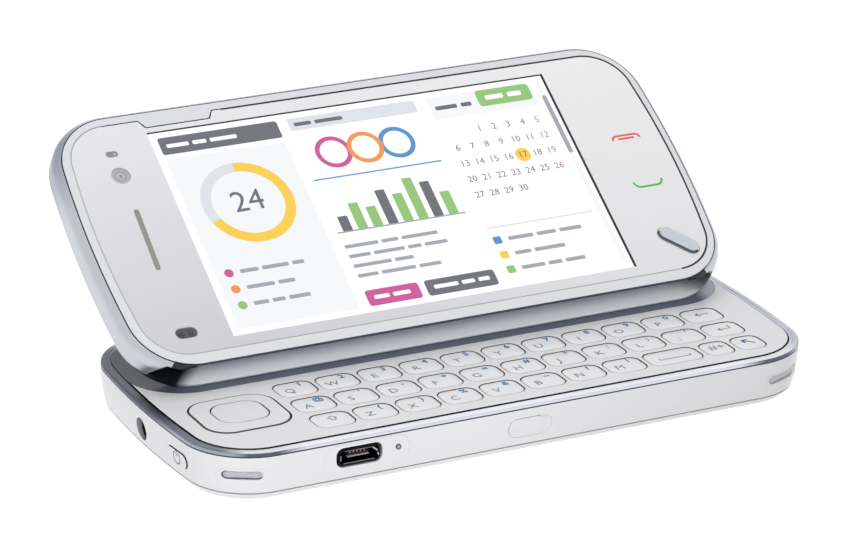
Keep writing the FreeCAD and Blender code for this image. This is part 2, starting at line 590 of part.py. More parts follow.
def make_arm(arm_x, start, end, end_bore):
    """A flat link with a round knuckle at each end, lightened by a slot along its middle."""
    length = math.hypot(end[0] - start[0], end[1] - start[1])
    slope = math.degrees(math.atan2(end[1] - start[1], end[0] - start[0]))
    web = box(arm_x, (0, length), (-ARM_THICK / 2, ARM_THICK / 2))
    arm = joined(bar(KNUCKLE_RADIUS, arm_x, 0, 0), bar(KNUCKLE_RADIUS, arm_x, length, 0), web)
    slot = rounded_block((arm_x[1] - arm_x[0]) * 0.42, length - 7.0, 1.0, -3, 3,
                         (sum(arm_x) / 2, length / 2))
    arm = arm.cut([slot, bar(BORE_RADIUS, arm_x, 0, 0), bar(end_bore, arm_x, length, 0)])
    arm.rotate(V(0, 0, 0), V(1, 0, 0), slope)
    arm.translate(V(0, start[0], start[1]))
    return arm


def make_front_lift_arms():
    arm = make_arm(FRONT_ARM_X, FRONT_BASE, on_display(*FRONT_PIVOT), BORE_RADIUS)
    return Part.makeCompound(both_sides(arm))


def make_rear_lift_arms():
    """The arms and the pins fixed in their top ends, which slide in the display bracket's slots."""
    y, z = on_display(*REAR_PIVOT)
    arm = make_arm(REAR_ARM_X, REAR_BASE, (y, z), PIN_RADIUS)
    return Part.makeCompound(both_sides(arm) + both_sides(pin(REAR_ARM_X, y, z)))


def make_base_hinge_brackets():
    """One folded steel tray on each side, with its lugs and their two pins."""
    x, y = POCKET_X, OPENING_Y
    end = x[1] + 0.1
    tray = joined(box((x[0], end), y, (TRAY_LOW, TRAY_HIGH)),
                  box((x[0], x[0] + TRAY_WALL), y, (TRAY_LOW, SHELL_TOP)),
                  box((end - TRAY_WALL, end), y, (TRAY_LOW, SHELL_TOP)),
                  *ear_pair(FRONT_ARM_X, *FRONT_BASE, TRAY_HIGH), *ear_pair(REAR_ARM_X, *REAR_BASE, TRAY_HIGH))
    pins = [pin(FRONT_ARM_X, *FRONT_BASE), pin(REAR_ARM_X, *REAR_BASE)]
    tray = tray.cut(pins)
    return Part.makeCompound([s for shape in [tray] + pins for s in both_sides(shape)])


def make_display_hinge_brackets():
    """Plates in the roofs of the display's pockets, with lugs round the arms' top ends."""
    x, y, low = POCKET_X, POCKET_Y, POCKET_ROOF - BRACKET_THICK
    plate = box((x[0] + 0.1, x[1] - 0.1), (y[0] + 0.3, y[1] - 0.3), (low, POCKET_ROOF))
    windows = [box((x[0] - EAR_GAP, x[1] + EAR_GAP), (pivot[0] - 2.6, pivot[0] + 1.6), (-6, 0))
               for x, pivot in ((FRONT_ARM_X, FRONT_PIVOT), (REAR_ARM_X, REAR_PIVOT))]
    ears = ear_pair(FRONT_ARM_X, *FRONT_PIVOT, low)
    rear = []
    for x in ((REAR_ARM_X[0] - EAR_GAP - EAR_THICK, REAR_ARM_X[0] - EAR_GAP),
              (REAR_ARM_X[1] + EAR_GAP, REAR_ARM_X[1] + EAR_GAP + EAR_THICK)):
        rear.append(box(x, (REAR_PIVOT[0] - 3.2, REAR_PIVOT[0] + 2.0), (DISPLAY_LOW + 0.25, low)))
    bracket = joined(plate.cut(windows), *ears, *rear)
    slot = rounded_block(SLOT_LENGTH, SLOT_WIDTH, PIN_RADIUS, 0, 20)
    slot.rotate(V(0, 0, 0), UP, 90)
    slot.rotate(V(0, 0, 0), V(0, 1, 0), 90)
    slot.translate(V(27, REAR_PIVOT[0] + SLOT_SHIFT[0], REAR_PIVOT[1] + SLOT_SHIFT[1]))
    slot = slot.common(box((20, REAR_ARM_X[1] + 2), (-20, 20), (-10, 5)))
    bracket = bracket.cut(slot)
    front_pin = pin(FRONT_ARM_X, *FRONT_PIVOT)
    bracket = bracket.cut(front_pin)
    return raise_display(Part.makeCompound([s for shape in (bracket, front_pin) for s in both_sides(shape)]))


# ---------------------------------------------------------------- display
MENU_AT, MENU_SIZE, MENU_DEG = (49.0, -18.2), (8.0, 2.9), -43.5
MENU_GAP = 0.12
MENU_FOOT, MENU_TOP, MENU_CHAMFER = -1.2, 0.42, 0.25
MENU_FLANGE, MENU_ROOM = 0.25, 0.45     # the flange under the window, and the room that it has, beyond the cap
EARPIECE_AT, EARPIECE_SIZE, EARPIECE_DEG = (-47.05, -0.05), (13.0, 1.0), 88
WINDOW_RECESS = 0.3         # depth of the shallow recesses for the front camera and the two sensors
FRONT_CAMERA_AT, FRONT_CAMERA_RADIUS = (-46.9, 13.81), 1.75
LIGHT_SENSOR_AT, LIGHT_SENSOR_SIZE = (-46.9, 18.51), (2.3, 1.3)
NEAR_SENSOR_AT, NEAR_SENSOR_SIZE = (-47.1, -19.79), (4.0, 2.2)
TAB_X, TAB_DIP, TAB_RUN = (-40.2, -25.6), 1.64, 1.35    # the bezel's tab in the window's far edge
TAB_ROUND = 0.35


def turned_block(size, radius, low, high, at, deg):
    block = rounded_block(size[0], size[1], radius, low, high)
    block.rotate(V(0, 0, 0), UP, deg)
    block.translate(V(at[0], at[1], 0))
    return block


def menu_block(grow, low, high):
    """The menu key's outline, grown all round."""
    size = (MENU_SIZE[0] + 2 * grow, MENU_SIZE[1] + 2 * grow)
    return turned_block(size, size[1] / 2, low, high, MENU_AT, MENU_DEG)


def front_hollow():
    """What is taken away along the display's front, between the bezel's overhang and the chin below."""
    x, front = -LENGTH, -DEPTH
    top, middle, low = (V(x, y, h) for y, h in HOLLOW)
    edges = [arc(top, middle, low), line(low, V(x, front, low.z)), line(V(x, front, low.z), V(x, front, top.z)),
             line(V(x, front, top.z), top)]
    return Part.Face(Part.Wire(edges)).extrude(V(2 * LENGTH, 0, 0))


def make_display_back_shell():
    def on_shoulder(degrees):
        turn = math.radians(degrees)
        return SHOULDER_ROUND * (1 - math.cos(turn)), SHOULDER_LOW + SHOULDER_ROUND * math.sin(turn)

    top, bend = on_shoulder(SHOULDER_TURN), DISPLAY_ROUND * (1 - math.sqrt(0.5))
    shell = case_sweep((CAVITY_INSET, DISPLAY_LOW), (DISPLAY_ROUND, DISPLAY_LOW),
                       ((bend, DISPLAY_LOW + bend), (0, DISPLAY_LOW + DISPLAY_ROUND)), (0, SHOULDER_LOW),
                       (on_shoulder(SHOULDER_TURN / 2), top), (top[0], BEZEL_SEAT), (CAVITY_INSET, BEZEL_SEAT))
    x, y = POCKET_X, POCKET_Y
    tub = box((x[0] - POCKET_WALL, x[1] + POCKET_WALL), (y[0] - POCKET_WALL, y[1] + POCKET_WALL),
              (CAVITY_FLOOR, POCKET_ROOF + POCKET_WALL))
    room = box(x, y, (DISPLAY_LOW - 1, POCKET_ROOF))
    backing = case_plate(CAVITY_INSET - 0.1, CAVITY_FLOOR, HOLLOW_BACKING[1])
    backing = backing.common(box((-LENGTH, LENGTH), (-DEPTH, HOLLOW_BACKING[0]), (DISPLAY_LOW, 0)))
    shell = joined(shell, case_plate(CAVITY_INSET, DISPLAY_LOW, CAVITY_FLOOR), backing, *both_sides(tub))
    shoulder = box((-LENGTH, LENGTH), (-DEPTH, SHOULDER_FRONT), (HOLLOW[2][1], 0))
    shell = shell.cut(both_sides(room) + [menu_block(MENU_ROOM, MENU_FOOT - 0.8, 0), front_hollow(), shoulder])
    below = box((-LENGTH, LENGTH), (-DEPTH, DEPTH), (0, DECK_Z + DECK_CLEARANCE))
    return raise_display(shell).cut(below)


def tab_block(grow, low, high):
    """The bezel's tab: a trapezoid that dips into the window's far edge, grown all round."""
    edge = WINDOW_Y + WINDOW_HALF_DEPTH
    root, tip = edge + 0.5, edge - TAB_DIP - grow
    corners = [V(TAB_X[0] - grow, root, low), V(TAB_X[1] + grow, root, low),
               V(TAB_X[1] + grow - TAB_RUN, tip, low), V(TAB_X[0] - grow + TAB_RUN, tip, low)]
    block = Part.Face(Part.makePolygon(corners + corners[:1])).extrude(UP * (high - low))
    upright = [e for e in block.Edges if e.BoundBox.YMax < root and e.BoundBox.ZLength > 0.5 * (high - low)]
    return block.makeFillet(TAB_ROUND + grow, upright)


def make_display_bezel():
    bezel = case_plate(BEZEL_INSET, BEZEL_SEAT, 0)
    bezel = bezel.makeChamfer(BEZEL_CHAMFER, edges_at(bezel, 0))
    bezel = bezel.cut([window_plate(0, WINDOW_LOW, 1), window_plate(BEZEL_LEDGE, BEZEL_SEAT - 1, 1),
                       front_hollow()])
    return raise_display(joined(bezel, tab_block(0, WINDOW_LOW, 0)))


def make_touch_window():
    """The touch film's carrier, with the earpiece slit and shallow recesses for the camera and the sensors."""
    window = window_plate(WINDOW_GAP, WINDOW_LOW, WINDOW_HIGH)
    slit = turned_block(EARPIECE_SIZE, EARPIECE_SIZE[1] / 2, -3, 3, EARPIECE_AT, EARPIECE_DEG)
    floor = WINDOW_HIGH - WINDOW_RECESS
    camera = Part.makeCylinder(FRONT_CAMERA_RADIUS, 1, V(*FRONT_CAMERA_AT, floor), UP)
    sensors = [rounded_block(*size, size[1] / 2, floor, 1, at)
               for at, size in ((LIGHT_SENSOR_AT, LIGHT_SENSOR_SIZE), (NEAR_SENSOR_AT, NEAR_SENSOR_SIZE))]
    return raise_display(window.cut([menu_block(MENU_GAP, -3, 3), slit, tab_block(WINDOW_GAP, -3, 3),
                                     camera, *sensors]))


def make_lcd_module():
    """The display panel with its frame, and the driver board behind it."""
    panel = rounded_block(*PANEL_SIZE, PANEL_CORNER, PANEL_LOW, WINDOW_LOW, (SCREEN_X, SCREEN_Y))
    x, y = DRIVER_HALF
    board = box((-x, x), (-y, y), (CAVITY_FLOOR, CAVITY_FLOOR + DRIVER_THICK))
    return raise_display(Part.makeCompound([panel, board]))


def make_menu_key():
    cap = menu_block(0, MENU_FOOT, MENU_TOP)
    cap = cap.makeChamfer(MENU_CHAMFER, edges_at(cap, MENU_TOP))
    return raise_display(joined(cap, menu_block(MENU_FLANGE, MENU_FOOT, WINDOW_LOW)))


# ---------------------------------------------------------------- write every piece
def main():
    os.makedirs("parts", exist_ok=True)
    pieces = {
        "side_shell": make_side_shell(),
        "battery_cover": make_battery_cover(),
        "base_rim": make_base_rim(),
        "keyboard_panel": make_keyboard_panel(),
        "deck_plate": make_deck_plate(),
        "circuit_board": make_circuit_board(),
        "battery": make_battery(),
        "usb_socket": make_usb_socket(),
        "audio_jack": make_audio_jack(),
        "power_key": make_power_key(),
        "lock_slider": make_lock_slider(),
        "volume_rocker": make_volume_rocker(),
        "camera_key": make_camera_key(),
        "camera_module": make_camera_module(),
        "camera_cover": make_camera_cover(),
        "base_hinge_brackets": make_base_hinge_brackets(),
        "front_lift_arms": make_front_lift_arms(),
        "rear_lift_arms": make_rear_lift_arms(),
        "display_hinge_brackets": make_display_hinge_brackets(),
        "display_back_shell": make_display_back_shell(),
        "display_bezel": make_display_bezel(),
        "touch_window": make_touch_window(),
        "lcd_module": make_lcd_module(),
        "menu_key": make_menu_key(),
        "dpad_carrier": make_pad_carrier(),
        "dpad_ring": make_pad_ring(),
        "dpad_select_key": make_select_key(),
    }
    for name, x, y, length in key_places():
        pieces["key_" + name] = make_key(x, y, length)
    for name, shape in pieces.items():
        shape.translate(V(0, 0, -FOOT))
        shape.exportStep(f"parts/{name}.step")
        if not shape.isValid():
            print("not valid:", name)
    for arms, display_pivot, pivot in (("front", FRONT_PIVOT, FRONT_BASE), ("rear", REAR_PIVOT, REAR_BASE)):
        top = on_display(*display_pivot)
        length, open_deg, shut_deg = swing(display_pivot, pivot)
        print(f"{arms} arms: base pivot Y {pivot[0]:.4f} Z {pivot[1] - FOOT:.4f}, top pivot Y {top[0]:.4f} "
              f"Z {top[1] - FOOT:.4f}, length {length:.3f}, swing {shut_deg - open_deg:.3f} degrees")
    print(len(pieces), "pieces")


main()
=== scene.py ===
"""The looks of a slider phone, open and tilted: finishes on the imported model, and the pieces added to it.

Places are in millimetres until a piece is seated. Heights count from the phone's flat back, and those that
FOOT is taken off are written from the floor. Pieces of the display are made lying flat, with the display's
face at height 0, and are then raised to its slope.
"""
import math

import bmesh
import bpy
from mathutils import Matrix, Vector


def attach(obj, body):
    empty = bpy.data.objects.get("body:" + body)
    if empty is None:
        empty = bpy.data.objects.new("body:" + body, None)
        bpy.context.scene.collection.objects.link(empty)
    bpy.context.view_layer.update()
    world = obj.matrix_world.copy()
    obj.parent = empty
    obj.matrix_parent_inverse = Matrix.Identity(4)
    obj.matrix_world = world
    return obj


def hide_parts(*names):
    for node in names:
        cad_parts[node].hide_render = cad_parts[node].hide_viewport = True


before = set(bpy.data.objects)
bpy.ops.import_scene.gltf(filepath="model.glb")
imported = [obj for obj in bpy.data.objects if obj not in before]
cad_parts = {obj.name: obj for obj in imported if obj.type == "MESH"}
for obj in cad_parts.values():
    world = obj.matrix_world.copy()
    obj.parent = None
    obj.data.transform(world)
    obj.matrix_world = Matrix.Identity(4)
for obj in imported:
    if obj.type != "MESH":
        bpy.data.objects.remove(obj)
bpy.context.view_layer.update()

MM = 0.001
FOOT = 2.35                        # height of the ridge and the camera island, on which the flat back stands
DECK_Z = 11.65 - FOOT              # keyboard panel's top
SHELL_TOP = 10.74 - FOOT           # side shell below, metal rim above
RIM_TOP = 11.61 - FOOT
DISPLAY_TILT = 34.18
DISPLAY_Y, DISPLAY_Z = 22.747, 31.06 - FOOT
SCREEN_X, SCREEN_Y = -0.5, -0.29   # middle of the lit area on the display's face
SCREEN_LENGTH, SCREEN_DEPTH = 77.48, 43.58
RAISE_DISPLAY = (Matrix.Translation((0, DISPLAY_Y, DISPLAY_Z))
                 @ Matrix.Rotation(math.radians(DISPLAY_TILT), 4, "X"))
LOWER_DISPLAY = RAISE_DISPLAY.inverted()
DISPLAY_UP = RAISE_DISPLAY.to_3x3() @ Vector((0, 0, 1))
AS_DRAWN = Matrix.Identity(4)


# ---------------------------------------------------------------- colours and nodes
def colour(hex_code):
    """Linear colour from an sRGB hex code."""
    parts = [int(hex_code[i:i + 2], 16) / 255 for i in (1, 3, 5)]
    return (*[c / 12.92 if c <= 0.04045 else ((c + 0.055) / 1.055) ** 2.4 for c in parts], 1)


def add_node(tree, kind, inputs=None, **settings):
    """Adds a shader node. A value in inputs is a number, a colour, or the socket that it is linked from."""
    node = tree.nodes.new("ShaderNode" + kind)
    for name, value in settings.items():
        setattr(node, name, value)
    for name, value in (inputs or {}).items():
        if isinstance(value, bpy.types.NodeSocket):
            tree.links.new(value, node.inputs[name])
        else:
            node.inputs[name].default_value = value
    return node


def new_material(name, base, roughness, metallic=0.0, **sockets):
    """A principled material; returns it with its tree, its shader and the place in metres."""
    material = bpy.data.materials.new(name)
    material.use_nodes = True
    tree = material.node_tree
    shader = tree.nodes["Principled BSDF"]
    shader.inputs["Base Color"].default_value = colour(base)
    shader.inputs["Roughness"].default_value = roughness
    shader.inputs["Metallic"].default_value = metallic
    for socket, value in sockets.items():
        shader.inputs[socket.replace("_", " ")].default_value = value
    place = add_node(tree, "TexCoord").outputs["Object"]
    return material, tree, shader, place


def add_grain(tree, shader, place, size_mm, height_mm, roughness=None, stretch=(1, 1, 1)):
    """A fine relief of grains of a size, stretched along the axes, with the roughness that varies with it."""
    mapping = add_node(tree, "Mapping", {"Vector": place, "Scale": stretch})
    noise = add_node(tree, "TexNoise", {"Vector": mapping.outputs["Vector"], "Scale": 1 / (size_mm * MM),
                                        "Detail": 2.0, "Roughness": 0.5})
    bump = add_node(tree, "Bump", {"Height": noise.outputs["Fac"], "Strength": 1.0,
                                   "Distance": height_mm * MM})
    tree.links.new(bump.outputs["Normal"], shader.inputs["Normal"])
    if roughness:
        spread = add_node(tree, "MapRange", {"Value": noise.outputs["Fac"], "To Min": roughness[0],
                                             "To Max": roughness[1]})
        tree.links.new(spread.outputs["Result"], shader.inputs["Roughness"])


def make_fades(tree, ramps, products):
    """Named sockets from 0 to 1: ramps along values between two places in millimetres, and their products."""
    fades = {}
    for name, value, start, end in ramps:
        ramp = add_node(tree, "MapRange", {"Value": value, "From Min": start * MM, "From Max": end * MM})
        fades[name] = ramp.outputs["Result"]
    for name, first, second in products:
        product = add_node(tree, "Math", {0: fades[first], 1: fades[second]}, operation="MULTIPLY")
        fades[name] = product.outputs[0]
    return fades


def seen_rays(tree):
    """A socket that is 1 for what is seen, directly, mirrored or through glass, and 0 for what lights."""
    rays = add_node(tree, "LightPath")
    seen = add_node(tree, "Math", {0: rays.outputs["Is Camera Ray"], 1: rays.outputs["Is Glossy Ray"]},
                    operation="MAXIMUM")
    seen = add_node(tree, "Math", {0: seen.outputs[0], 1: rays.outputs["Is Transmission Ray"]},
                    operation="MAXIMUM")
    return seen.outputs[0]


# ---------------------------------------------------------------- camera, floor and light
WHITE = "#FFFFFF"
WORLD_FILL = 0.44                  # how much of the white world lights the phone
FLOOR_FILL, FLOOR_SEEN = 0.42, 0.8
FLOOR_GAP = 0.02                   # under the phone's feet, so that the faces don't fight
LAMP_AIM = Vector((0, 0.01, 0.02))


def make_camera():
    azimuth, elevation, roll = math.radians(-26.8776), math.radians(20.9441), math.radians(0.7071)
    target, distance = Vector((10.4946, 44.1370, 8.0)), 751.025
    back = Vector((math.sin(azimuth) * math.cos(elevation), -math.cos(azimuth) * math.cos(elevation),
                   math.sin(elevation)))
    level = Vector((math.cos(azimuth), math.sin(azimuth), 0))
    upright = back.cross(level)
    right = math.cos(roll) * level + math.sin(roll) * upright
    up = -math.sin(roll) * level + math.cos(roll) * upright
    data = bpy.data.cameras.new("camera")
    data.lens = 174.82
    data.shift_x, data.shift_y = 0.03869, -0.01614
    data.clip_start, data.clip_end = 0.01, 20
    camera = bpy.data.objects.new("camera", data)
    camera.matrix_world = (Matrix.Translation((target + distance * back) * MM)
                           @ Matrix((right, up, back)).transposed().to_4x4())
    bpy.context.scene.collection.objects.link(camera)
    bpy.context.scene.camera = camera


def add_light(name, place, size, power):
    """A soft square lamp, in metres and watts, that points at the phone."""
    data = bpy.data.lights.new(name, "AREA")
    data.shape, data.size, data.energy = "SQUARE", size, power
    lamp = bpy.data.objects.new(name, data)
    towards = LAMP_AIM - Vector(place)
    lamp.matrix_world = Matrix.Translation(place) @ towards.to_track_quat("-Z", "Y").to_matrix().to_4x4()
    lamp.visible_glossy = False
    bpy.context.scene.collection.objects.link(lamp)


def paint_floor():
    """A pale floor that the camera sees as white, apart from the phone's shadow."""
    bpy.ops.mesh.primitive_plane_add(size=6, location=(0, 0, -(FOOT + FLOOR_GAP) * MM))
    floor = bpy.context.object
    floor.name = "floor"
    material, tree, shader, place = new_material("white_paper", "#B4B4B4", 0.9)
    glow = add_node(tree, "MapRange", {"Value": seen_rays(tree), "To Min": FLOOR_FILL, "To Max": FLOOR_SEEN})
    tree.links.new(glow.outputs["Result"], shader.inputs["Emission Strength"])
    shader.inputs["Emission Color"].default_value = colour(WHITE)
    floor.data.materials.append(material)


def light_scene():
    world = bpy.data.worlds.new("studio")
    bpy.context.scene.world = world
    world.use_nodes = True
    tree = world.node_tree
    background = tree.nodes["Background"]
    background.inputs["Color"].default_value = colour(WHITE)
    level = add_node(tree, "MapRange", {"Value": seen_rays(tree), "To Min": WORLD_FILL, "To Max": 1.0})
    tree.links.new(level.outputs["Result"], background.inputs["Strength"])
    add_light("key_light", (-0.22, -0.36, 0.28), 0.3, 0.9)
    add_light("fill_light", (0.5, -0.2, 0.8), 0.5, 0.4)
    add_light("back_light", (0.1, 0.5, 0.9), 0.5, 2.2)
    bpy.context.scene.view_settings.view_transform = "Standard"


# ---------------------------------------------------------------- materials
def gloss_shell():
    # polycarbonate, injection moulded in a polished tool: white through and through, gloss with a faint
    # waviness;
    # the base colour greys towards the right end as painted shade
    near_tone, painted_shade_tone, near_x, far_x = "#F1F1F4", "#DFDFE1", -10, 58
    material, tree, shader, place = new_material("gloss_white_polycarbonate", near_tone, 0.22, IOR=1.58)
    add_grain(tree, shader, place, 2.2, 0.0016, (0.18, 0.28))
    axes = add_node(tree, "SeparateXYZ", {"Vector": place})
    far = add_node(tree, "MapRange", {"Value": axes.outputs["X"], "From Min": near_x * MM,
                                      "From Max": far_x * MM})
    # painted shade: from the near tone at the left to the darker tone at the right end
    tone = add_node(tree, "MixRGB", {"Fac": far.outputs["Result"], "Color1": colour(near_tone),
                                     "Color2": colour(painted_shade_tone)})
    tree.links.new(tone.outputs["Color"], shader.inputs["Base Color"])
    return material


def satin_panel():
    # painted polycarbonate: satin white with a slight pearl, so that it is softer than the shell
    material, tree, shader, place = new_material("satin_white_paint", "#ECECEF", 0.38, IOR=1.5)
    add_grain(tree, shader, place, 0.35, 0.0012, (0.33, 0.45))
    return material


def key_plastic():
    # polycarbonate key caps, moulded and sprayed: satin, a little warmer and brighter than the panel
    material, tree, shader, place = new_material("satin_key_polycarbonate", "#F1F1F3", 0.34, IOR=1.55)
    add_grain(tree, shader, place, 0.3, 0.0010, (0.3, 0.4))
    return material


def satin_chrome():
    # satin chrome on moulded plastic, bead blasted and plated: cool silver, soft reflections
    material, tree, shader, place = new_material("satin_chrome", "#C9CDD6", 0.3, 1.0)
    add_grain(tree, shader, place, 0.05, 0.0001, (0.28, 0.34))
    return material


def smoked_chrome():
    # satin chrome on the display's shell: soft silver, turning slate towards the top of its left end as a
    # painted reflection; the hollow under the bezel is left unplated and carries painted shade, which fades
    # from grey at its root to white at its lip, and to black at either end
    silver, slate = "#C1C4CB", "#868CA0"
    lip, root, black = "#F2F4F8", "#C3C6CE", "#12151C"
    inside_lean, left_lean = 0.85, -0.96    # of the lines that end the hollow and part its black left end
    floor_share = 0.8                       # of black on the hollow's floor at its right end
    material, tree, shader, place = new_material("satin_chrome_with_painted_hollow_shade", silver, 0.34, 1.0)
    add_grain(tree, shader, place, 0.05, 0.0001)
    flat = add_node(tree, "Mapping", {"Vector": place, "Location": (0, DISPLAY_Y * MM, DISPLAY_Z * MM),
                                      "Rotation": (math.radians(DISPLAY_TILT), 0, 0)}, vector_type="TEXTURE")
    axes = add_node(tree, "SeparateXYZ", {"Vector": flat.outputs["Vector"]})
    reach = add_node(tree, "Math", {0: axes.outputs["X"]}, operation="ABSOLUTE")
    crease = add_node(tree, "Math", {0: axes.outputs["Z"], 1: inside_lean, 2: reach.outputs[0]},
                      operation="MULTIPLY_ADD")
    left_crease = add_node(tree, "Math", {0: axes.outputs["Y"], 1: left_lean, 2: axes.outputs["X"]},
                           operation="MULTIPLY_ADD")
    ramps = (("inside", crease.outputs[0], 51.13, 51.03), ("front", axes.outputs["Y"], -22.5, -22.7),
             ("above", axes.outputs["Z"], -5.5, -5.4), ("depth", axes.outputs["Y"], -27.6, -24.1),
             ("left", left_crease.outputs[0], -21.98, -24.98), ("end", reach.outputs[0], 45.5, 47.5),
             ("wall", axes.outputs["Z"], -4.1, -3.9), ("right", axes.outputs["X"], 47.5, 52.5),
             ("overhang", axes.outputs["Y"], -26.9, -26.3), ("far_left", axes.outputs["X"], -49.0, -55.0),
             ("far_edge", axes.outputs["Y"], 8.0, 25.0))
    products = (("hollow", "inside", "front"), ("hollow", "hollow", "above"), ("end_wall", "end", "wall"),
                ("right_floor", "right", "overhang"), ("far_corner", "far_left", "far_edge"))
    fades = make_fades(tree, ramps, products)
    right_floor = add_node(tree, "Math", {0: fades["right_floor"], 1: floor_share}, operation="MULTIPLY")
    painted_light_ends = add_node(tree, "Math", {0: fades["left"], 1: fades["end_wall"]}, operation="MAXIMUM")
    painted_light_ends = add_node(tree, "Math", {0: painted_light_ends.outputs[0], 1: right_floor.outputs[0]}, operation="MAXIMUM")
    # painted shade in the hollow: grey at the root, white at the lip, black at either end
    painted_hollow_shade = add_node(tree, "MixRGB", {"Fac": fades["depth"], "Color1": colour(lip), "Color2": colour(root)})
    painted_hollow_shade = add_node(tree, "MixRGB", {"Fac": painted_light_ends.outputs[0], "Color1": painted_hollow_shade.outputs["Color"],
                                        "Color2": colour(black)})
    # painted reflection: the chrome turns slate towards the top of the left end
    chrome = add_node(tree, "MixRGB", {"Fac": fades["far_corner"], "Color1": colour(silver),
                                       "Color2": colour(slate)})
    tone = add_node(tree, "MixRGB", {"Fac": fades["hollow"], "Color1": chrome.outputs["Color"],
                                     "Color2": painted_hollow_shade.outputs["Color"]})
    tree.links.new(tone.outputs["Color"], shader.inputs["Base Color"])
    plating = add_node(tree, "MapRange", {"Value": fades["hollow"], "To Min": 1.0, "To Max": 0.0})
    tree.links.new(plating.outputs["Result"], shader.inputs["Metallic"])
    return material


def rim_chrome():
    # satin chrome on the base's rim, its tones painted reflection: a paler top band, pale along the front,
    # darker at its corners and at either end, slate where the display hangs over it; and a dark line of
    # painted shade at the joint to the shell
    painted_corner_reflection, painted_rear_left_reflection, painted_tip_reflection, painted_joint_shade = "#5A5F6E", "#555965", "#50535C", "#4F535E"
    material, tree, shader, place = new_material("satin_chrome_rim", "#D3D6DD", 0.28, 1.0)
    add_grain(tree, shader, place, 1.0, 0.0002)
    axes = add_node(tree, "SeparateXYZ", {"Vector": place})
    reach = add_node(tree, "Math", {0: axes.outputs["X"]}, operation="ABSOLUTE")
    ramps = (("near_corner", reach.outputs[0], 41.0, 46.0), ("past_corner", reach.outputs[0], 55.5, 52.5),
             ("front", axes.outputs["Y"], -17.0, -21.0), ("side", reach.outputs[0], 51.0, 54.5),
             ("left", axes.outputs["X"], -51.0, -54.5), ("right", axes.outputs["X"], 54.0, 56.5),
             ("rear", axes.outputs["Y"], -14.0, -5.0),
             ("top", axes.outputs["Z"], RIM_TOP - 0.14, RIM_TOP - 0.12),
             ("above_joint", axes.outputs["Z"], SHELL_TOP + 0.2, SHELL_TOP + 0.3))
    products = (("corner", "near_corner", "past_corner"), ("corner", "corner", "front"),
                ("rear_left", "left", "rear"), ("tip", "right", "front"))
    fades = make_fades(tree, ramps, products)
    bands = []
    # painted reflection: each band darkens at the sides, the left end, the rear left, the front corners and
    # the right tip
    for base, painted_side_reflection, painted_left_tone, corner_share in (("#D3D6DD", "#A9ADB9", "#9DA2AE", 1.0),
                                                     ("#ECEEF2", "#C2C5CE", "#747986", 0.15)):
        corner = add_node(tree, "Math", {0: fades["corner"], 1: corner_share}, operation="MULTIPLY")
        tip = add_node(tree, "Math", {0: fades["tip"], 1: corner_share}, operation="MULTIPLY")
        tone = add_node(tree, "MixRGB", {"Fac": corner.outputs[0], "Color1": colour(base),
                                         "Color2": colour(painted_corner_reflection)})
        for factor, second in ((fades["side"], painted_side_reflection), (fades["left"], painted_left_tone),
                               (fades["rear_left"], painted_rear_left_reflection), (tip.outputs[0], painted_tip_reflection)):
            tone = add_node(tree, "MixRGB", {"Fac": factor, "Color1": tone.outputs["Color"],
                                             "Color2": colour(second)})
        bands.append(tone.outputs["Color"])
    tone = add_node(tree, "MixRGB", {"Fac": fades["top"], "Color1": bands[0], "Color2": bands[1]})
    # painted shade: a dark line at the joint to the shell
    tone = add_node(tree, "MixRGB", {"Fac": fades["above_joint"], "Color1": colour(painted_joint_shade),
                                     "Color2": tone.outputs["Color"]})
    tree.links.new(tone.outputs["Color"], shader.inputs["Base Color"])
    return material


def black_nickel():
    # black nickel plated on drawn steel, as on the socket: nearly black, with sharp glints; on the power
    # key's sides it stands for painted shade
    material, tree, shader, place = new_material("black_nickel", "#1C1B21", 0.16, 1.0)
    add_grain(tree, shader, place, 0.3, 0.0008, (0.1, 0.25))
    return material


def bright_chrome():
    # chrome plated over polished plastic: nearly a mirror
    material, tree, shader, place = new_material("bright_chrome", "#D5D8DE", 0.1, 1.0)
    add_grain(tree, shader, place, 0.8, 0.0004, (0.08, 0.14))
    return material


def silver_paint():
    # fine silver lacquer, sprayed on the bezel: pale and almost matt, with tiny flakes; on the window's walls
    # it is painted light
    material, tree, shader, place = new_material("sprayed_silver", "#E7E9ED", 0.4, 0.2)
    add_grain(tree, shader, place, 0.08, 0.0006, (0.3, 0.42))
    return material


def slate_lacquer():
    # polycarbonate plate, sprayed with slate lacquer: half gloss; darker at the left end as painted shade,
    # and silver at the right as a painted reflection
    slate = "#6A6F80"
    # painted light: shade at the left end, a reflection at the right
    painted_light_ends = ((-45, -55, "#50545F"), (50, 52.5, "#B9BEC8"))    # where each fades in, and its tone
    material, tree, shader, place = new_material("slate_lacquer", slate, 0.38, Specular_IOR_Level=0.25)
    add_grain(tree, shader, place, 0.4, 0.0002, (0.28, 0.36))
    axes = add_node(tree, "SeparateXYZ", {"Vector": place})
    tone = colour(slate)
    for start, end, second in painted_light_ends:
        ramp = add_node(tree, "MapRange", {"Value": axes.outputs["X"], "From Min": start * MM,
                                           "From Max": end * MM})
        tone = add_node(tree, "MixRGB", {"Fac": ramp.outputs["Result"], "Color1": tone,
                                         "Color2": colour(second)}).outputs["Color"]
    tree.links.new(tone, shader.inputs["Base Color"])
    return material


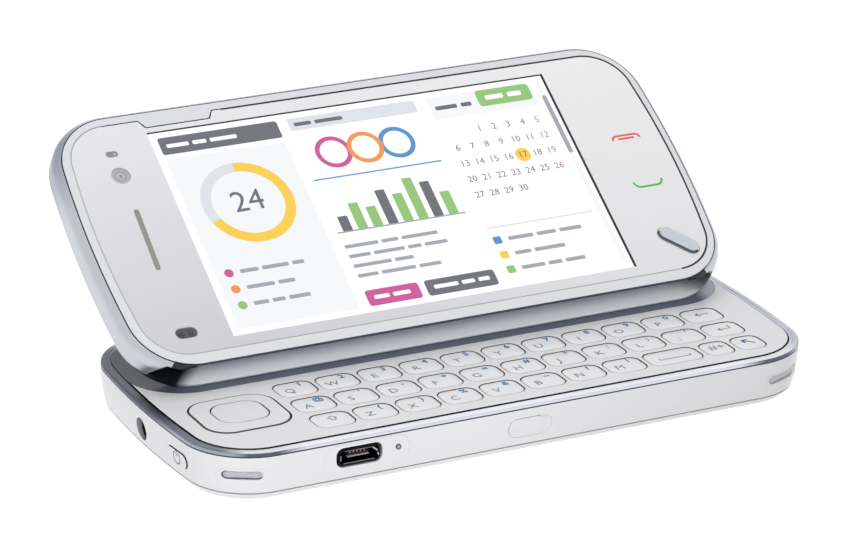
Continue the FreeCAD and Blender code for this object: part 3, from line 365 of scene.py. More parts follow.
def window_print():
    # hard-coated polyester touch film over a pearl white print: gloss on top, a soft shimmer below; the
    # print's tone pales towards the top and to the right as painted light
    left_x, right_x, low_z, high_z = -40, 45, 15, 42
    material, tree, shader, place = new_material("pearl_print_under_film", "#E6E5EA", 0.3, 0.1,
                                                 Coat_Weight=1.0, Coat_Roughness=0.04)
    add_grain(tree, shader, place, 0.1, 0.0003, (0.28, 0.36))
    axes = add_node(tree, "SeparateXYZ", {"Vector": place})
    far = add_node(tree, "MapRange", {"Value": axes.outputs["X"], "From Min": left_x * MM,
                                      "From Max": right_x * MM})
    high = add_node(tree, "MapRange", {"Value": axes.outputs["Z"], "From Min": low_z * MM,
                                       "From Max": high_z * MM})
    # painted light: darker at the left and the bottom, paler towards the right and the top
    tones = []
    for painted_left_tone, painted_right_tone in (("#D5D4DA", "#EEEDF0"), ("#F1F1F5", "#FBFBFC")):
        level = add_node(tree, "MixRGB", {"Fac": far.outputs["Result"], "Color1": colour(painted_left_tone),
                                          "Color2": colour(painted_right_tone)})
        tones.append(level.outputs["Color"])
    tone = add_node(tree, "MixRGB", {"Fac": high.outputs["Result"], "Color1": tones[0], "Color2": tones[1]})
    tree.links.new(tone.outputs["Color"], shader.inputs["Base Color"])
    return material


def black_rubber():
    # dull black: the screen's black edge, and painted shade in walls and gaps and along the far half of the
    # window's edge
    material, tree, shader, place = new_material("matt_black_edges_and_shade", "#0E0F12", 0.5)
    add_grain(tree, shader, place, 0.2, 0.001)
    return material


def black_plastic():
    # ABS, moulded in a polished tool: black gloss
    material, tree, shader, place = new_material("black_gloss_abs", "#101114", 0.15)
    add_grain(tree, shader, place, 1.0, 0.0004)
    return material


def hinge_steel():
    # stainless spring steel, rolled and stamped: grey with the rolling lines along X
    material, tree, shader, place = new_material("rolled_stainless_steel", "#B7B9BC", 0.3, 1.0)
    add_grain(tree, shader, place, 0.1, 0.001, (0.22, 0.42), (0.06, 1, 1))
    return material


def ink(name, hex_code):
    # screen-printed ink: matt, a little uneven; the same matt colour also serves as painted shade and painted
    # light in gaps, walls and edges
    material, tree, shader, place = new_material(name, hex_code, 0.55)
    add_grain(tree, shader, place, 0.06, 0.0005)
    return material


def screen_light(name, hex_code):
    # a lit part of the liquid crystal panel behind the film: glows in its own colour under the film's gloss
    material, tree, shader, place = new_material(name, "#000000", 0.3, Coat_Weight=1.0, Coat_Roughness=0.04)
    shader.inputs["Emission Color"].default_value = colour(hex_code)
    shader.inputs["Emission Strength"].default_value = 1.0
    add_grain(tree, shader, place, 0.22, 0.0001)
    return material


def gold_plate():
    # hard gold flashed over spring bronze: tan, satin
    material, tree, shader, place = new_material("gold_flash", "#8E7450", 0.3, 1.0)
    add_grain(tree, shader, place, 0.15, 0.0006, (0.25, 0.4))
    return material


def woven_steel():
    # stainless wire, woven and sprayed light grey: pale with a dull shine
    material, tree, shader, place = new_material("woven_steel_wire", "#E2E2E5", 0.45, 0.1)
    add_grain(tree, shader, place, 0.1, 0.001)
    return material


def acoustic_cloth():
    # fine polyester cloth behind the earpiece slit: warm grey, with a diagonal thread every 0.358 mm
    pitch, wave_period = 0.358 * MM, 0.4439    # the wave texture's own period at scale 1, in metres
    material, tree, shader, place = new_material("acoustic_cloth", "#A39D98", 0.8)
    weave = add_node(tree, "TexWave", {"Vector": place, "Scale": wave_period / pitch},
                     bands_direction="DIAGONAL")
    bump = add_node(tree, "Bump", {"Height": weave.outputs["Fac"], "Strength": 1.0, "Distance": 0.03 * MM})
    tree.links.new(bump.outputs["Normal"], shader.inputs["Normal"])
    return material


def tinted_acrylic(name, hex_code):
    # acrylic, moulded and tinted in the mass: gloss; also used for painted shade and reflection on the menu
    # key, painted shade in the jack's hole, and painted highlights in the socket's mouth and on the light
    # sensor
    material, tree, shader, place = new_material(name, hex_code, 0.12, IOR=1.49)
    add_grain(tree, shader, place, 0.6, 0.0004, (0.08, 0.2))
    return material


def solder_mask():
    # solder mask over copper on a glass-fibre board: deep green, half gloss, rippled over the tracks
    material, tree, shader, place = new_material("solder_mask", "#1E5B3A", 0.35)
    add_grain(tree, shader, place, 0.6, 0.004)
    return material


def battery_wrap():
    # polyester wrap, shrunk round the cell: plain grey, slightly creased
    material, tree, shader, place = new_material("polyester_wrap", "#5B5E63", 0.4)
    add_grain(tree, shader, place, 1.2, 0.003)
    return material


def lens_glass():
    # optical glass, ground and coated: nearly black from outside, with a hard shine
    material, tree, shader, place = new_material("coated_lens_glass", "#0B0D14", 0.03, Coat_Weight=1.0,
                                                 Coat_Roughness=0.02)
    add_grain(tree, shader, place, 2.0, 0.0001)
    return material


shell_white = gloss_shell()
panel_white = satin_panel()
key_white = key_plastic()
chrome_satin = satin_chrome()
chrome_bright = bright_chrome()
silver = silver_paint()
matt_black_and_painted_shade = black_rubber()
gloss_black = black_plastic()
steel = hinge_steel()
mesh_steel = woven_steel()
contact_gold = gold_plate()
nickel_black = black_nickel()
legend_grey = ink("grey_ink", "#7A7C82")
legend_blue = ink("blue_ink", "#14739F")
sign_red = ink("red_ink", "#F0655F")
sign_green = ink("green_ink", "#4FBF62")
# painted shade: brown for the walls of holes and the sides of keys
painted_gap_shade = ink("painted_gap_shade_brown", "#4A423C")
# painted shade: grey for the foot of the keys' rounding, the battery cover's seam and the right speaker's
# lower edge
painted_grey_shade = ink("painted_grey_shade_ink", "#9B9894")
# painted shade on the bezel's walls and the left speaker's lower edge, painted reflection on the menu key's
# near chamfer
slate_shade_and_reflection = ink("slate_shade_and_reflection_ink", "#454B5E")
# painted light: the pale line along the near half of the window's edge
painted_lit_edge = ink("painted_lit_edge_lavender", "#B4B7C4")
smoke_acrylic = tinted_acrylic("smoked_acrylic", "#55545A")
grey_acrylic = tinted_acrylic("grey_acrylic", "#97979D")
silver_acrylic = tinted_acrylic("silver_acrylic", "#BFBFC4")
milk_acrylic = tinted_acrylic("milky_acrylic", "#A9ABB2")
camera_glass = lens_glass()


# ---------------------------------------------------------------- modelling
CORNER_STEPS = 6                   # facets of a plate's round corner
TURN_STEP = 12                     # degrees from one section to the next round a drawn line
ALL_ROUND = 359.9                  # a closed ring, short of a full turn by less than shows
SMOOTH_BELOW = 35                  # degrees between faces that shade as one
LEVEL_ERROR, MERGE_WITHIN = 1e-4, 1e-5


def deselect():
    if bpy.context.object and bpy.context.object.mode != "OBJECT":
        bpy.ops.object.mode_set(mode="OBJECT")
    bpy.ops.object.select_all(action="DESELECT")


def activate(piece):
    deselect()
    piece.select_set(True)
    bpy.context.view_layer.objects.active = piece


def apply_place():
    bpy.ops.object.transform_apply(location=True, rotation=True, scale=True)


def select_level(piece, kind, z):
    """Selects the faces or edges of a piece in edit mode that lie level at a height."""
    bpy.ops.mesh.select_all(action="DESELECT")
    bpy.ops.mesh.select_mode(type={"faces": "FACE", "edges": "EDGE"}[kind])
    mesh = bmesh.from_edit_mesh(piece.data)
    for part in getattr(mesh, kind):
        part.select_set(all(abs(vert.co.z - z) < LEVEL_ERROR for vert in part.verts))
    mesh.select_flush_mode()
    bmesh.update_edit_mesh(piece.data)


def outline_plate(length, depth, radius, low, high):
    """A round-cornered plate about the origin, from a plane that is bevelled at its corners and extruded."""
    deselect()
    bpy.ops.mesh.primitive_plane_add(size=1)
    piece = bpy.context.object
    piece.scale = (length, depth, 1)
    piece.location = (0, 0, low)
    apply_place()
    bpy.ops.object.mode_set(mode="EDIT")
    if radius:
        bpy.ops.mesh.select_all(action="SELECT")
        bpy.ops.mesh.bevel(offset=radius, offset_type="OFFSET", segments=CORNER_STEPS, affect="VERTICES")
    bpy.ops.mesh.select_all(action="SELECT")
    bpy.ops.mesh.extrude_region_move(TRANSFORM_OT_translate={"value": (0, 0, high - low)})
    bpy.ops.mesh.select_all(action="SELECT")
    bpy.ops.mesh.normals_make_consistent(inside=False)
    return piece


def round_level_edges(piece, z, width, steps):
    """Rounds the edges of a piece that lie at a height; the piece is in edit mode."""
    select_level(piece, "edges", z)
    bpy.ops.mesh.bevel(offset=width, offset_type="OFFSET", segments=steps, affect="EDGES")


def crown(piece, z, inset, rise, steps):
    """Insets the level faces at a height in steps and lifts them a little less at each."""
    select_level(piece, "faces", z)
    for step in range(steps):
        bpy.ops.mesh.inset(thickness=inset)
        bpy.ops.transform.translate(value=(0, 0, rise * (steps - step) / steps))


def seat(piece, name, body, at=(0, 0, 0), turn=0.0, into=AS_DRAWN, nodes=()):
    """Names a piece, applies its place, and puts it on its body, instead of the plain nodes if it has any."""
    activate(piece)
    piece.name = name
    piece.matrix_world = (Matrix.Scale(MM, 4) @ into @ Matrix.Translation(at)
                          @ Matrix.Rotation(math.radians(turn), 4, "Z") @ piece.matrix_world)
    apply_place()
    bpy.ops.object.shade_smooth_by_angle(angle=math.radians(SMOOTH_BELOW))
    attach(piece, body)
    if nodes:
        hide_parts(*nodes)


def copy_of(piece):
    twin = bpy.data.objects.new(piece.name, piece.data.copy())
    bpy.context.scene.collection.objects.link(twin)
    return twin


def join_pieces(first, *others):
    activate(first)
    for other in others:
        other.select_set(True)
    bpy.ops.object.join()
    return first


def lettering(text, size, x, y, z, half_height, material, bold=0.0):
    """Printed figures or signs about a place, as a thin closed mesh."""
    deselect()
    bpy.ops.object.text_add()
    piece = bpy.context.object
    data = piece.data
    data.body, data.size, data.extrude = text, size, half_height
    data.align_x, data.align_y = "CENTER", "CENTER"
    data.resolution_u = 3
    data.offset = bold
    piece.location = (x, y, z)
    bpy.ops.object.convert(target="MESH")
    apply_place()
    piece.data.materials.clear()
    piece.data.materials.append(material)
    return piece


def swept_line(width, low, high, at, heading, moves, material):
    """A flat line of a width: its end is drawn along straight runs and round turns of (radius, degrees)."""
    deselect()
    bpy.ops.mesh.primitive_plane_add(size=1)
    piece = bpy.context.object
    piece.scale = (width, high - low, 1)
    piece.rotation_euler = (math.radians(90), 0, math.radians(heading - 90))
    piece.location = (at[0], at[1], (low + high) / 2)
    apply_place()
    bpy.ops.object.mode_set(mode="EDIT")
    bpy.ops.mesh.select_all(action="SELECT")
    point, angle = Vector((*at, 0)), math.radians(heading)
    for move in moves:
        if isinstance(move, tuple):
            radius, turn = move[0], math.radians(move[1])
            side = math.copysign(1, turn)
            centre = point + radius * side * Vector((-math.sin(angle), math.cos(angle), 0))
            steps = max(2, round(abs(move[1]) / TURN_STEP))
            bpy.ops.mesh.spin(steps=steps, angle=-turn, center=centre, axis=(0, 0, 1))
            point = centre + Matrix.Rotation(turn, 3, "Z") @ (point - centre)
            angle += turn
        else:
            run = move * Vector((math.cos(angle), math.sin(angle), 0))
            bpy.ops.mesh.extrude_region_move(TRANSFORM_OT_translate={"value": run})
            point = point + run
    bpy.ops.mesh.select_all(action="SELECT")
    bpy.ops.mesh.remove_doubles(threshold=MERGE_WITHIN)
    bpy.ops.mesh.fill_holes(sides=0)
    bpy.ops.mesh.select_all(action="SELECT")
    bpy.ops.mesh.normals_make_consistent(inside=False)
    bpy.ops.object.mode_set(mode="OBJECT")
    piece.data.materials.append(material)
    return piece


def arc_band(x, y, radius, width, start, turn, low, high, material):
    """A flat band that turns round a point from a start angle."""
    from_angle = math.radians(start)
    at = (x + radius * math.cos(from_angle), y + radius * math.sin(from_angle))
    return swept_line(width, low, high, at, start + math.copysign(90, turn), [(radius, turn)], material)


def ring(radius, width, low, high, material):
    """A flat ring about the origin."""
    return arc_band(0, 0, radius, width, 0, ALL_ROUND, low, high, material)


def slab(x, y, radius, low, high, material):
    """A thin plate between two (low, high) pairs, with round corners."""
    piece = outline_plate(x[1] - x[0], y[1] - y[0], radius, low, high)
    bpy.ops.object.mode_set(mode="OBJECT")
    piece.location = ((x[0] + x[1]) / 2, (y[0] + y[1]) / 2, 0)
    apply_place()
    piece.data.materials.append(material)
    return piece


def disc(x, y, radius, low, high, material, sides=32, bevel=0.02):
    """A round plate, with its upper edge broken if it is thick."""
    deselect()
    bpy.ops.mesh.primitive_cylinder_add(vertices=sides, radius=radius, depth=high - low,
                                        location=(x, y, (low + high) / 2))
    piece = bpy.context.object
    apply_place()
    if bevel:
        bpy.ops.object.mode_set(mode="EDIT")
        round_level_edges(piece, high, bevel, 2)
        bpy.ops.object.mode_set(mode="OBJECT")
    piece.data.materials.append(material)
    return piece


def on_wall(x, y, z, outward):
    """From a piece drawn flat, face up, to its place in a side wall that looks outward, in degrees."""
    return (Matrix.Translation((x, y, z - FOOT)) @ Matrix.Rotation(math.radians(outward + 90), 4, "Z")
            @ Matrix.Rotation(math.radians(90), 4, "X"))


def seat_on(node, x, y, z, outward):
    """Where a line that comes in at a side wall meets a node, with the face's own slope; in millimetres."""
    start_distance = 5
    inward = -Vector((math.cos(math.radians(outward)), math.sin(math.radians(outward)), 0))
    start = (Vector((x, y, z - FOOT)) - start_distance * inward) * MM
    hit, point, normal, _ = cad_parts[node].ray_cast(start, inward)
    assert hit, node
    across = Vector((0, 0, 1)).cross(normal).normalized()
    axes = Matrix((across, normal.cross(across), normal)).transposed().to_4x4()
    return Matrix.Translation(point / MM) @ axes


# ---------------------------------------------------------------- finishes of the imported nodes
FINISHES = {
    "side_shell": shell_white, "battery_cover": shell_white, "power_key": shell_white,
    "lock_slider": shell_white, "keyboard_panel": panel_white, "dpad_ring": panel_white,
    "dpad_select_key": panel_white, "display_bezel": silver,
    "base_rim": rim_chrome(), "display_back_shell": smoked_chrome(),
    "volume_rocker": chrome_satin, "camera_key": chrome_satin, "camera_cover": chrome_satin,
    "deck_plate": slate_lacquer(), "touch_window": window_print(), "menu_key": chrome_bright,
    "lcd_module": gloss_black, "audio_jack": gloss_black, "camera_module": gloss_black,
    "base_hinge_brackets": steel, "front_lift_arms": steel, "rear_lift_arms": steel,
    "display_hinge_brackets": steel, "dpad_carrier": steel, "usb_socket": nickel_black,
    "circuit_board": solder_mask(), "battery": battery_wrap(),
}
WALL = 0.3                         # a face whose normal rises by less than this is a wall
TOP = 0.95                         # and by more than this, a top
BASE_WALL = 0.5                    # the same as WALL for the pieces of the base
DPAD_TOP = 0.88                    # the D-pad's faces that rise by less are its walls and its chamfer
UNDERSIDE = -0.5                   # a face of the display that rises by less than this looks down
BEZEL_EDGE = 0.3                   # depth of the bezel's pale edge below the display's face
MENU_KEY, MENU_HOLE = Vector((49.0, -18.2)), 5.0    # its middle on the display's face, and its hole's reach
MENU_NEAR = RAISE_DISPLAY.to_3x3() @ Vector((-0.688, -0.725, 0))    # across the key, towards its near side
NEAR_CHAMFER, FAR_CHAMFER = 0.15, -0.6    # how much, at least and at most, the two chamfers look that way
PANEL_REACH_X, PANEL_FRONT_Y, PANEL_BACK_Y = 55.5, -25, -1    # just inside the keyboard panel's edges
POWER_KEY_Y, POWER_KEY_Z = -14.1, 7.35
POWER_KEY_FACE = -0.6              # a normal's x below this belongs to the power key's face
POWER_HOLE_X, POWER_HOLE_HALF_Y, POWER_HOLE_HALF_Z = -56.8, 3.45, 1.4
JACK_Y, JACK_Z, JACK_HOLE, JACK_HOLE_X = -0.3, 7.05, 2.05, -55
RIM_FOOT = 8.5
SHELL_SEAM, COVER_SEAM = (1.74, 1.89), (1.61, 1.76)    # heights of the two sides of the battery cover's seam


def dress(node, material):
    """Gives a CAD node, whose shape is right as it is, its finish."""
    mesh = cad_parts[node].data
    mesh.materials.clear()
    mesh.materials.append(material)


def tint(node, material, test):
    """Gives the faces of a CAD node whose middle, in millimetres, and normal pass a test another finish."""
    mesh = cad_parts[node].data
    mesh.materials.append(material)
    for face in mesh.polygons:
        if test(face.center / MM, face.normal):
            face.material_index = len(mesh.materials) - 1


def rise(normal):
    """How far a face of the display looks the way that the display does: 1 for its tops, 0 for its walls."""
    return normal.dot(DISPLAY_UP)


def below_face(point):
    """How far a point lies below the display's face."""
    return (RAISE_DISPLAY.translation - point).dot(DISPLAY_UP)


def is_display_wall(point, normal):
    return abs(rise(normal)) < WALL


def faces_inwards(point, normal):
    """True for the display's walls that look at the middle of its face."""
    flat_point, flat_normal = LOWER_DISPLAY @ point, LOWER_DISPLAY.to_3x3() @ normal
    return is_display_wall(point, normal) and flat_point.xy.dot(flat_normal.xy) < 0


def is_base_wall(point, normal):
    """True for the upright faces of a piece of the base, such as the sides of its holes."""
    return abs(normal.z) < BASE_WALL


def is_panel_edge(point, normal):
    at_edge = abs(point.x) > PANEL_REACH_X or not PANEL_FRONT_Y <= point.y <= PANEL_BACK_Y
    return is_base_wall(point, normal) and at_edge


def is_power_key_side(point, normal):
    return normal.x > POWER_KEY_FACE


def is_power_key_hole(point, normal):
    near_y = abs(point.y - POWER_KEY_Y) < POWER_HOLE_HALF_Y
    near_z = abs(point.z + FOOT - POWER_KEY_Z) < POWER_HOLE_HALF_Z
    return point.x < POWER_HOLE_X and near_y and near_z and is_power_key_side(point, normal)


def is_jack_hole(point, normal):
    from_axis = math.hypot(point.y - JACK_Y, point.z + FOOT - JACK_Z)
    return point.x < JACK_HOLE_X and from_axis < JACK_HOLE and abs(normal.x) < WALL


def is_rim_inside(point, normal):
    return abs(normal.z) < WALL and point.z > RIM_FOOT and normal.dot(Vector((point.x, point.y, 0))) < 0


def is_near_menu_chamfer(point, normal):
    return WALL < rise(normal) < TOP and normal.dot(MENU_NEAR) > NEAR_CHAMFER


def is_far_menu_chamfer(point, normal):
    return WALL < rise(normal) < TOP and normal.dot(MENU_NEAR) < FAR_CHAMFER


def finish_nodes():
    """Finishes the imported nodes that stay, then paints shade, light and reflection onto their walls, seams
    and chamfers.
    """
    for node, material in FINISHES.items():
        dress(node, material)
    # painted shade: the bezel's walls and its faces deeper than its pale edge in slate, its inward walls in
    # black
    tint("display_bezel", slate_shade_and_reflection, lambda point, normal: below_face(point) > BEZEL_EDGE
         and rise(normal) > UNDERSIDE)
    tint("display_bezel", slate_shade_and_reflection, is_display_wall)
    tint("display_bezel", matt_black_and_painted_shade, faces_inwards)
    # painted light: the window's walls pale silver; painted shade: black walls round the menu key's hole
    tint("touch_window", silver, is_display_wall)
    tint("touch_window", matt_black_and_painted_shade, lambda point, normal: is_display_wall(point, normal)
         and ((LOWER_DISPLAY @ point).xy - MENU_KEY).length < MENU_HOLE)
    # the menu key: a satin top; painted shade on its grey walls, painted reflection on its chamfers, slate
    # near and dark far
    tint("menu_key", chrome_satin, lambda point, normal: rise(normal) > TOP)
    tint("menu_key", grey_acrylic, lambda point, normal: rise(normal) < WALL)
    tint("menu_key", slate_shade_and_reflection, is_near_menu_chamfer)
    tint("menu_key", smoke_acrylic, is_far_menu_chamfer)
    # painted shade: brown in the panel's holes, black round its outer edge, brown on the D-pad's and select
    # key's walls
    tint("keyboard_panel", painted_gap_shade, is_base_wall)
    tint("keyboard_panel", matt_black_and_painted_shade, is_panel_edge)
    tint("dpad_ring", painted_gap_shade, lambda point, normal: abs(normal.z) < DPAD_TOP)
    tint("dpad_select_key", painted_gap_shade, is_base_wall)
    # painted shade: the power key's sides in black nickel, the rim's inside faces black
    tint("power_key", nickel_black, is_power_key_side)
    tint("base_rim", matt_black_and_painted_shade, is_rim_inside)
    # painted shade: brown in the power key's hole, grey in the jack's hole, black on the shell's top, grey in
    # the seam
    tint("side_shell", painted_gap_shade, is_power_key_hole)
    tint("side_shell", milk_acrylic, is_jack_hole)
    tint("side_shell", matt_black_and_painted_shade, lambda point, normal: point.z > SHELL_TOP - 0.01)
    tint("side_shell", painted_grey_shade, lambda point, normal: SHELL_SEAM[0] < point.z < SHELL_SEAM[1])
    tint("battery_cover", painted_grey_shade, lambda point, normal: COVER_SEAM[0] < point.z < COVER_SEAM[1])


# ---------------------------------------------------------------- keyboard
KEY_PITCH_X, KEY_PITCH_Y = 7.887, 7.178
FIRST_KEY_X, FIRST_KEY_Y = -32.53, -5.49
KEY_LENGTH, KEY_DEPTH, KEY_RADIUS = 7.0, 5.72, 1.8
KEY_TOP, KEY_EDGE, KEY_FOOT = DECK_Z + 0.2, DECK_Z - 0.02, DECK_Z - 1.17
KEY_ROUNDING, CROWN_INSET, CROWN_RISE = 0.22, 0.5, 0.14
CAP_WALL, CAP_TOP = 0.1, 0.8       # rise of a cap's faces: its walls stay below the first, its top above both
PRINT_MIDDLE, PRINT_HALF = KEY_TOP - 0.04, 0.05    # prints are sunk into the crown and stand just proud of it
PRINT_LEVELS = PRINT_MIDDLE - PRINT_HALF, PRINT_MIDDLE + PRINT_HALF
LETTER_SIZE, LETTER_PLACE = 2.35, (-1.4, -0.95)
SIGN_SIZE, SIGN_PLACE, SIGN_BOLD = 1.95, (1.2, 1.15), 0.05
SYMBOLS_SIZE = 2.8
HEAD_SPREAD = 42                   # degrees between an arrow's shaft and each stroke of its head
ROWS = [
    [("q", "Q", "1"), ("w", "W", "2"), ("e", "E", "3"), ("r", "R", "4"), ("t", "T", "5"), ("y", "Y", "6"),
     ("u", "U", "7"), ("i", "I", "8"), ("o", "O", "9"), ("p", "P", "0"), ("backspace", "", "")],
    [("a", "A", "@"), ("s", "S", "'"), ("d", "D", "-"), ("f", "F", "+"), ("g", "G", "="), ("h", "H", "#"),
     ("j", "J", "*"), ("k", "K", ":"), ("l", "L", ";"), ("colon", ";", "'"), ("enter", "", "")],
    [("shift", "⇧", ""), ("z", "Z", "("), ("x", "X", ")"), ("c", "C", "%"), ("v", "V", "&"),
     ("b", "B", "~"), ("n", "N", "?"), ("m", "M", "!")],
]
WIDE_KEYS = [("space", 32.15, 10.1, "", ""), ("symbols", 40.85, 5.3, "#+", ""),
             ("function", 47.15, 5.4, "", "")]
ARROWS = {                         # start, heading, shaft, head, width, ink, and the run down to the shaft
    "backspace": ((1.25, 0), 180, 2.5, 0.95, 0.22, legend_grey, 0),
    "enter": ((1.3, 0.95), 180, 2.3, 0.9, 0.22, legend_grey, 1.2),
    "function": ((0.95, -0.85), 138, 2.5, 1.2, 0.34, legend_blue, 0),
}


def key_cap(length):
    """A cap with softly rounded edges and a slightly crowned top, down to its flange, painted shade low down.
    """
    cap = outline_plate(length, KEY_DEPTH, KEY_RADIUS, KEY_FOOT, KEY_EDGE)
    round_level_edges(cap, KEY_EDGE, KEY_ROUNDING, 3)
    crown(cap, KEY_EDGE, CROWN_INSET, CROWN_RISE, 2)
    bpy.ops.object.mode_set(mode="OBJECT")
    # painted shade: brown walls, grey at the foot of the rounding
    for material in (key_white, painted_gap_shade, painted_grey_shade):
        cap.data.materials.append(material)
    for face in cap.data.polygons:
        is_wall, is_rounding = abs(face.normal.z) < CAP_WALL, CAP_WALL < face.normal.z < CAP_TOP
        face.material_index = 1 if is_wall else 2 if is_rounding else 0
    return cap


def arrow(at, heading, length, head, width, material, bend):
    """A printed arrow: a shaft that may come down to its line first, and two strokes of a head."""
    moves = [bend, (width / 2, -90), length] if bend else [length]
    start_heading = heading + 90 if bend else heading
    strokes = [swept_line(width, *PRINT_LEVELS, at, start_heading, moves, material)]
    along = Vector((math.cos(math.radians(heading)), math.sin(math.radians(heading))))
    tip = Vector(at) + length * along
    if bend:
        came_down = Vector((math.cos(math.radians(start_heading)), math.sin(math.radians(start_heading))))
        tip = tip + (bend + width / 2) * came_down + width / 2 * along
    for side in (-1, 1):
        head_heading = heading + 180 + HEAD_SPREAD * side
        strokes.append(swept_line(width, *PRINT_LEVELS, tip, head_heading, [head], material))
    return join_pieces(*strokes)


def space_bracket():
    corner = (0.1, 90)
    return swept_line(0.24, *PRINT_LEVELS, (-3.0, -0.4), -90, [0.5, corner, 5.8, corner, 0.5], legend_grey)


def key_prints(name, letter, sign):
    """What is printed on a key, drawn about its middle: a grey letter, a blue sign, an arrow or a bracket."""
    prints = []
    if letter:
        size = SYMBOLS_SIZE if name == "symbols" else LETTER_SIZE
        x, y = LETTER_PLACE if sign else (0, 0)
        prints.append(lettering(letter, size, x, y, PRINT_MIDDLE, PRINT_HALF, legend_grey))
    if sign:
        x, y = SIGN_PLACE
        prints.append(lettering(sign, SIGN_SIZE, x, y, PRINT_MIDDLE, PRINT_HALF, legend_blue, SIGN_BOLD))
    if name in ARROWS:
        prints.append(arrow(*ARROWS[name]))
    if name == "space":
        prints.append(space_bracket())
    return prints


def make_keys():
    keys = []
    for row, row_keys in enumerate(ROWS):
        for column, (name, letter, sign) in enumerate(row_keys):
            x, y = FIRST_KEY_X + KEY_PITCH_X * column, FIRST_KEY_Y - KEY_PITCH_Y * row
            keys.append((name, x, y, KEY_LENGTH, letter, sign))
    for name, x, length, letter, sign in WIDE_KEYS:
        keys.append((name, x, FIRST_KEY_Y - KEY_PITCH_Y * 2, length, letter, sign))
    plain_cap = key_cap(KEY_LENGTH)
    for name, x, y, length, letter, sign in keys:
        cap = copy_of(plain_cap) if length == KEY_LENGTH else key_cap(length)
        join_pieces(cap, *key_prints(name, letter, sign))
        seat(cap, "cap_" + name, "key_" + name, at=(x, y, 0), nodes=["key_" + name])
    bpy.data.objects.remove(plain_cap)


# ---------------------------------------------------------------- display
FILM_TOP = -0.02                   # the touch film, below the display's face
LAYER = 0.004                      # each layer of the lit picture stands this much above the last
PALE, MIST, MIDDLE, DARK = "#F1F2F4", "#D9DCE1", "#9A9EA6", "#565A62"
LEAF, SUN, ROSE, AMBER, SKY = "#86BE64", "#F6C81E", "#C9358F", "#EE8B2C", "#2E86C6"
BAR = 0.8                          # height of the bar that stands for a word
PAGE_LOW, PAGE_HIGH = -20.6, 20.6
LEFT_COLUMN, MIDDLE_COLUMN, RIGHT_COLUMN = (-37.4, -14.6), (-12.6, 12.4), (14.8, 36.0)
SCROLL_BAR = (37.1, 38.0)


class Picture:
    """The lit picture, drawn in layers from the screen's middle and joined into one piece."""

    def __init__(self):
        self.tones = {}
        self.parts = []

    def tone(self, hex_code):
        if hex_code not in self.tones:
            self.tones[hex_code] = screen_light("lit_" + hex_code[1:], hex_code)
        return self.tones[hex_code]

    def levels(self, layer):
        return FILM_TOP - LAYER, FILM_TOP + LAYER * (layer + 1)

    def tile(self, x, y, layer, hex_code, radius=0.0):
        self.parts.append(slab(x, y, radius, *self.levels(layer), self.tone(hex_code)))

    def dot(self, x, y, radius, layer, hex_code):
        self.parts.append(disc(x, y, radius, *self.levels(layer), self.tone(hex_code), bevel=0))

    def band(self, x, y, radius, width, start, turn, layer, hex_code):
        low, high = self.levels(layer)
        self.parts.append(arc_band(x, y, radius, width, start, turn, low, high, self.tone(hex_code)))

    def words(self, x, y, height, lengths, layer, hex_code):
        """A line of text too small to read: one short bar for each word."""
        for length in lengths:
            self.tile((x, x + length), (y, y + height), layer, hex_code, height * 0.3)
            x += length + height * 0.9

    def figure(self, text, size, x, y, layer, hex_code):
        low, high = self.levels(layer)
        middle, half_height = (low + high) / 2, (high - low) / 2
        self.parts.append(lettering(text, size, x, y, middle, half_height, self.tone(hex_code)))


def draw_left_column(page):
    """A heading, a dial, and the dial's legend."""
    dial_x, dial_y, dial_radius, dial_width = -26.0, 4.6, 7.6, 1.9
    page.tile(LEFT_COLUMN, (16.9, PAGE_HIGH), 2, DARK, 0.5)
    page.words(-36.2, 18.3, BAR, (4.2, 2.6, 5.1), 3, WHITE)
    page.tile(LEFT_COLUMN, (PAGE_LOW, 15.9), 2, PALE, 0.6)
    page.band(dial_x, dial_y, dial_radius, dial_width, 90, -ALL_ROUND, 3, MIST)
    page.band(dial_x, dial_y, dial_radius, dial_width, 90, -248, 4, SUN)
    page.figure("24", 6.2, dial_x, dial_y + 0.1, 3, DARK)
    legend = ((ROSE, (3.4, 5.0, 2.2)), (AMBER, (5.2, 3.1)), (LEAF, (2.8, 2.4, 4.0)))
    for row, (hex_code, lengths) in enumerate(legend):
        y = -9.2 - 3.4 * row
        page.dot(-34.9, y, 0.85, 3, hex_code)
        page.words(-32.8, y - BAR / 2, BAR, lengths, 3, MIDDLE)


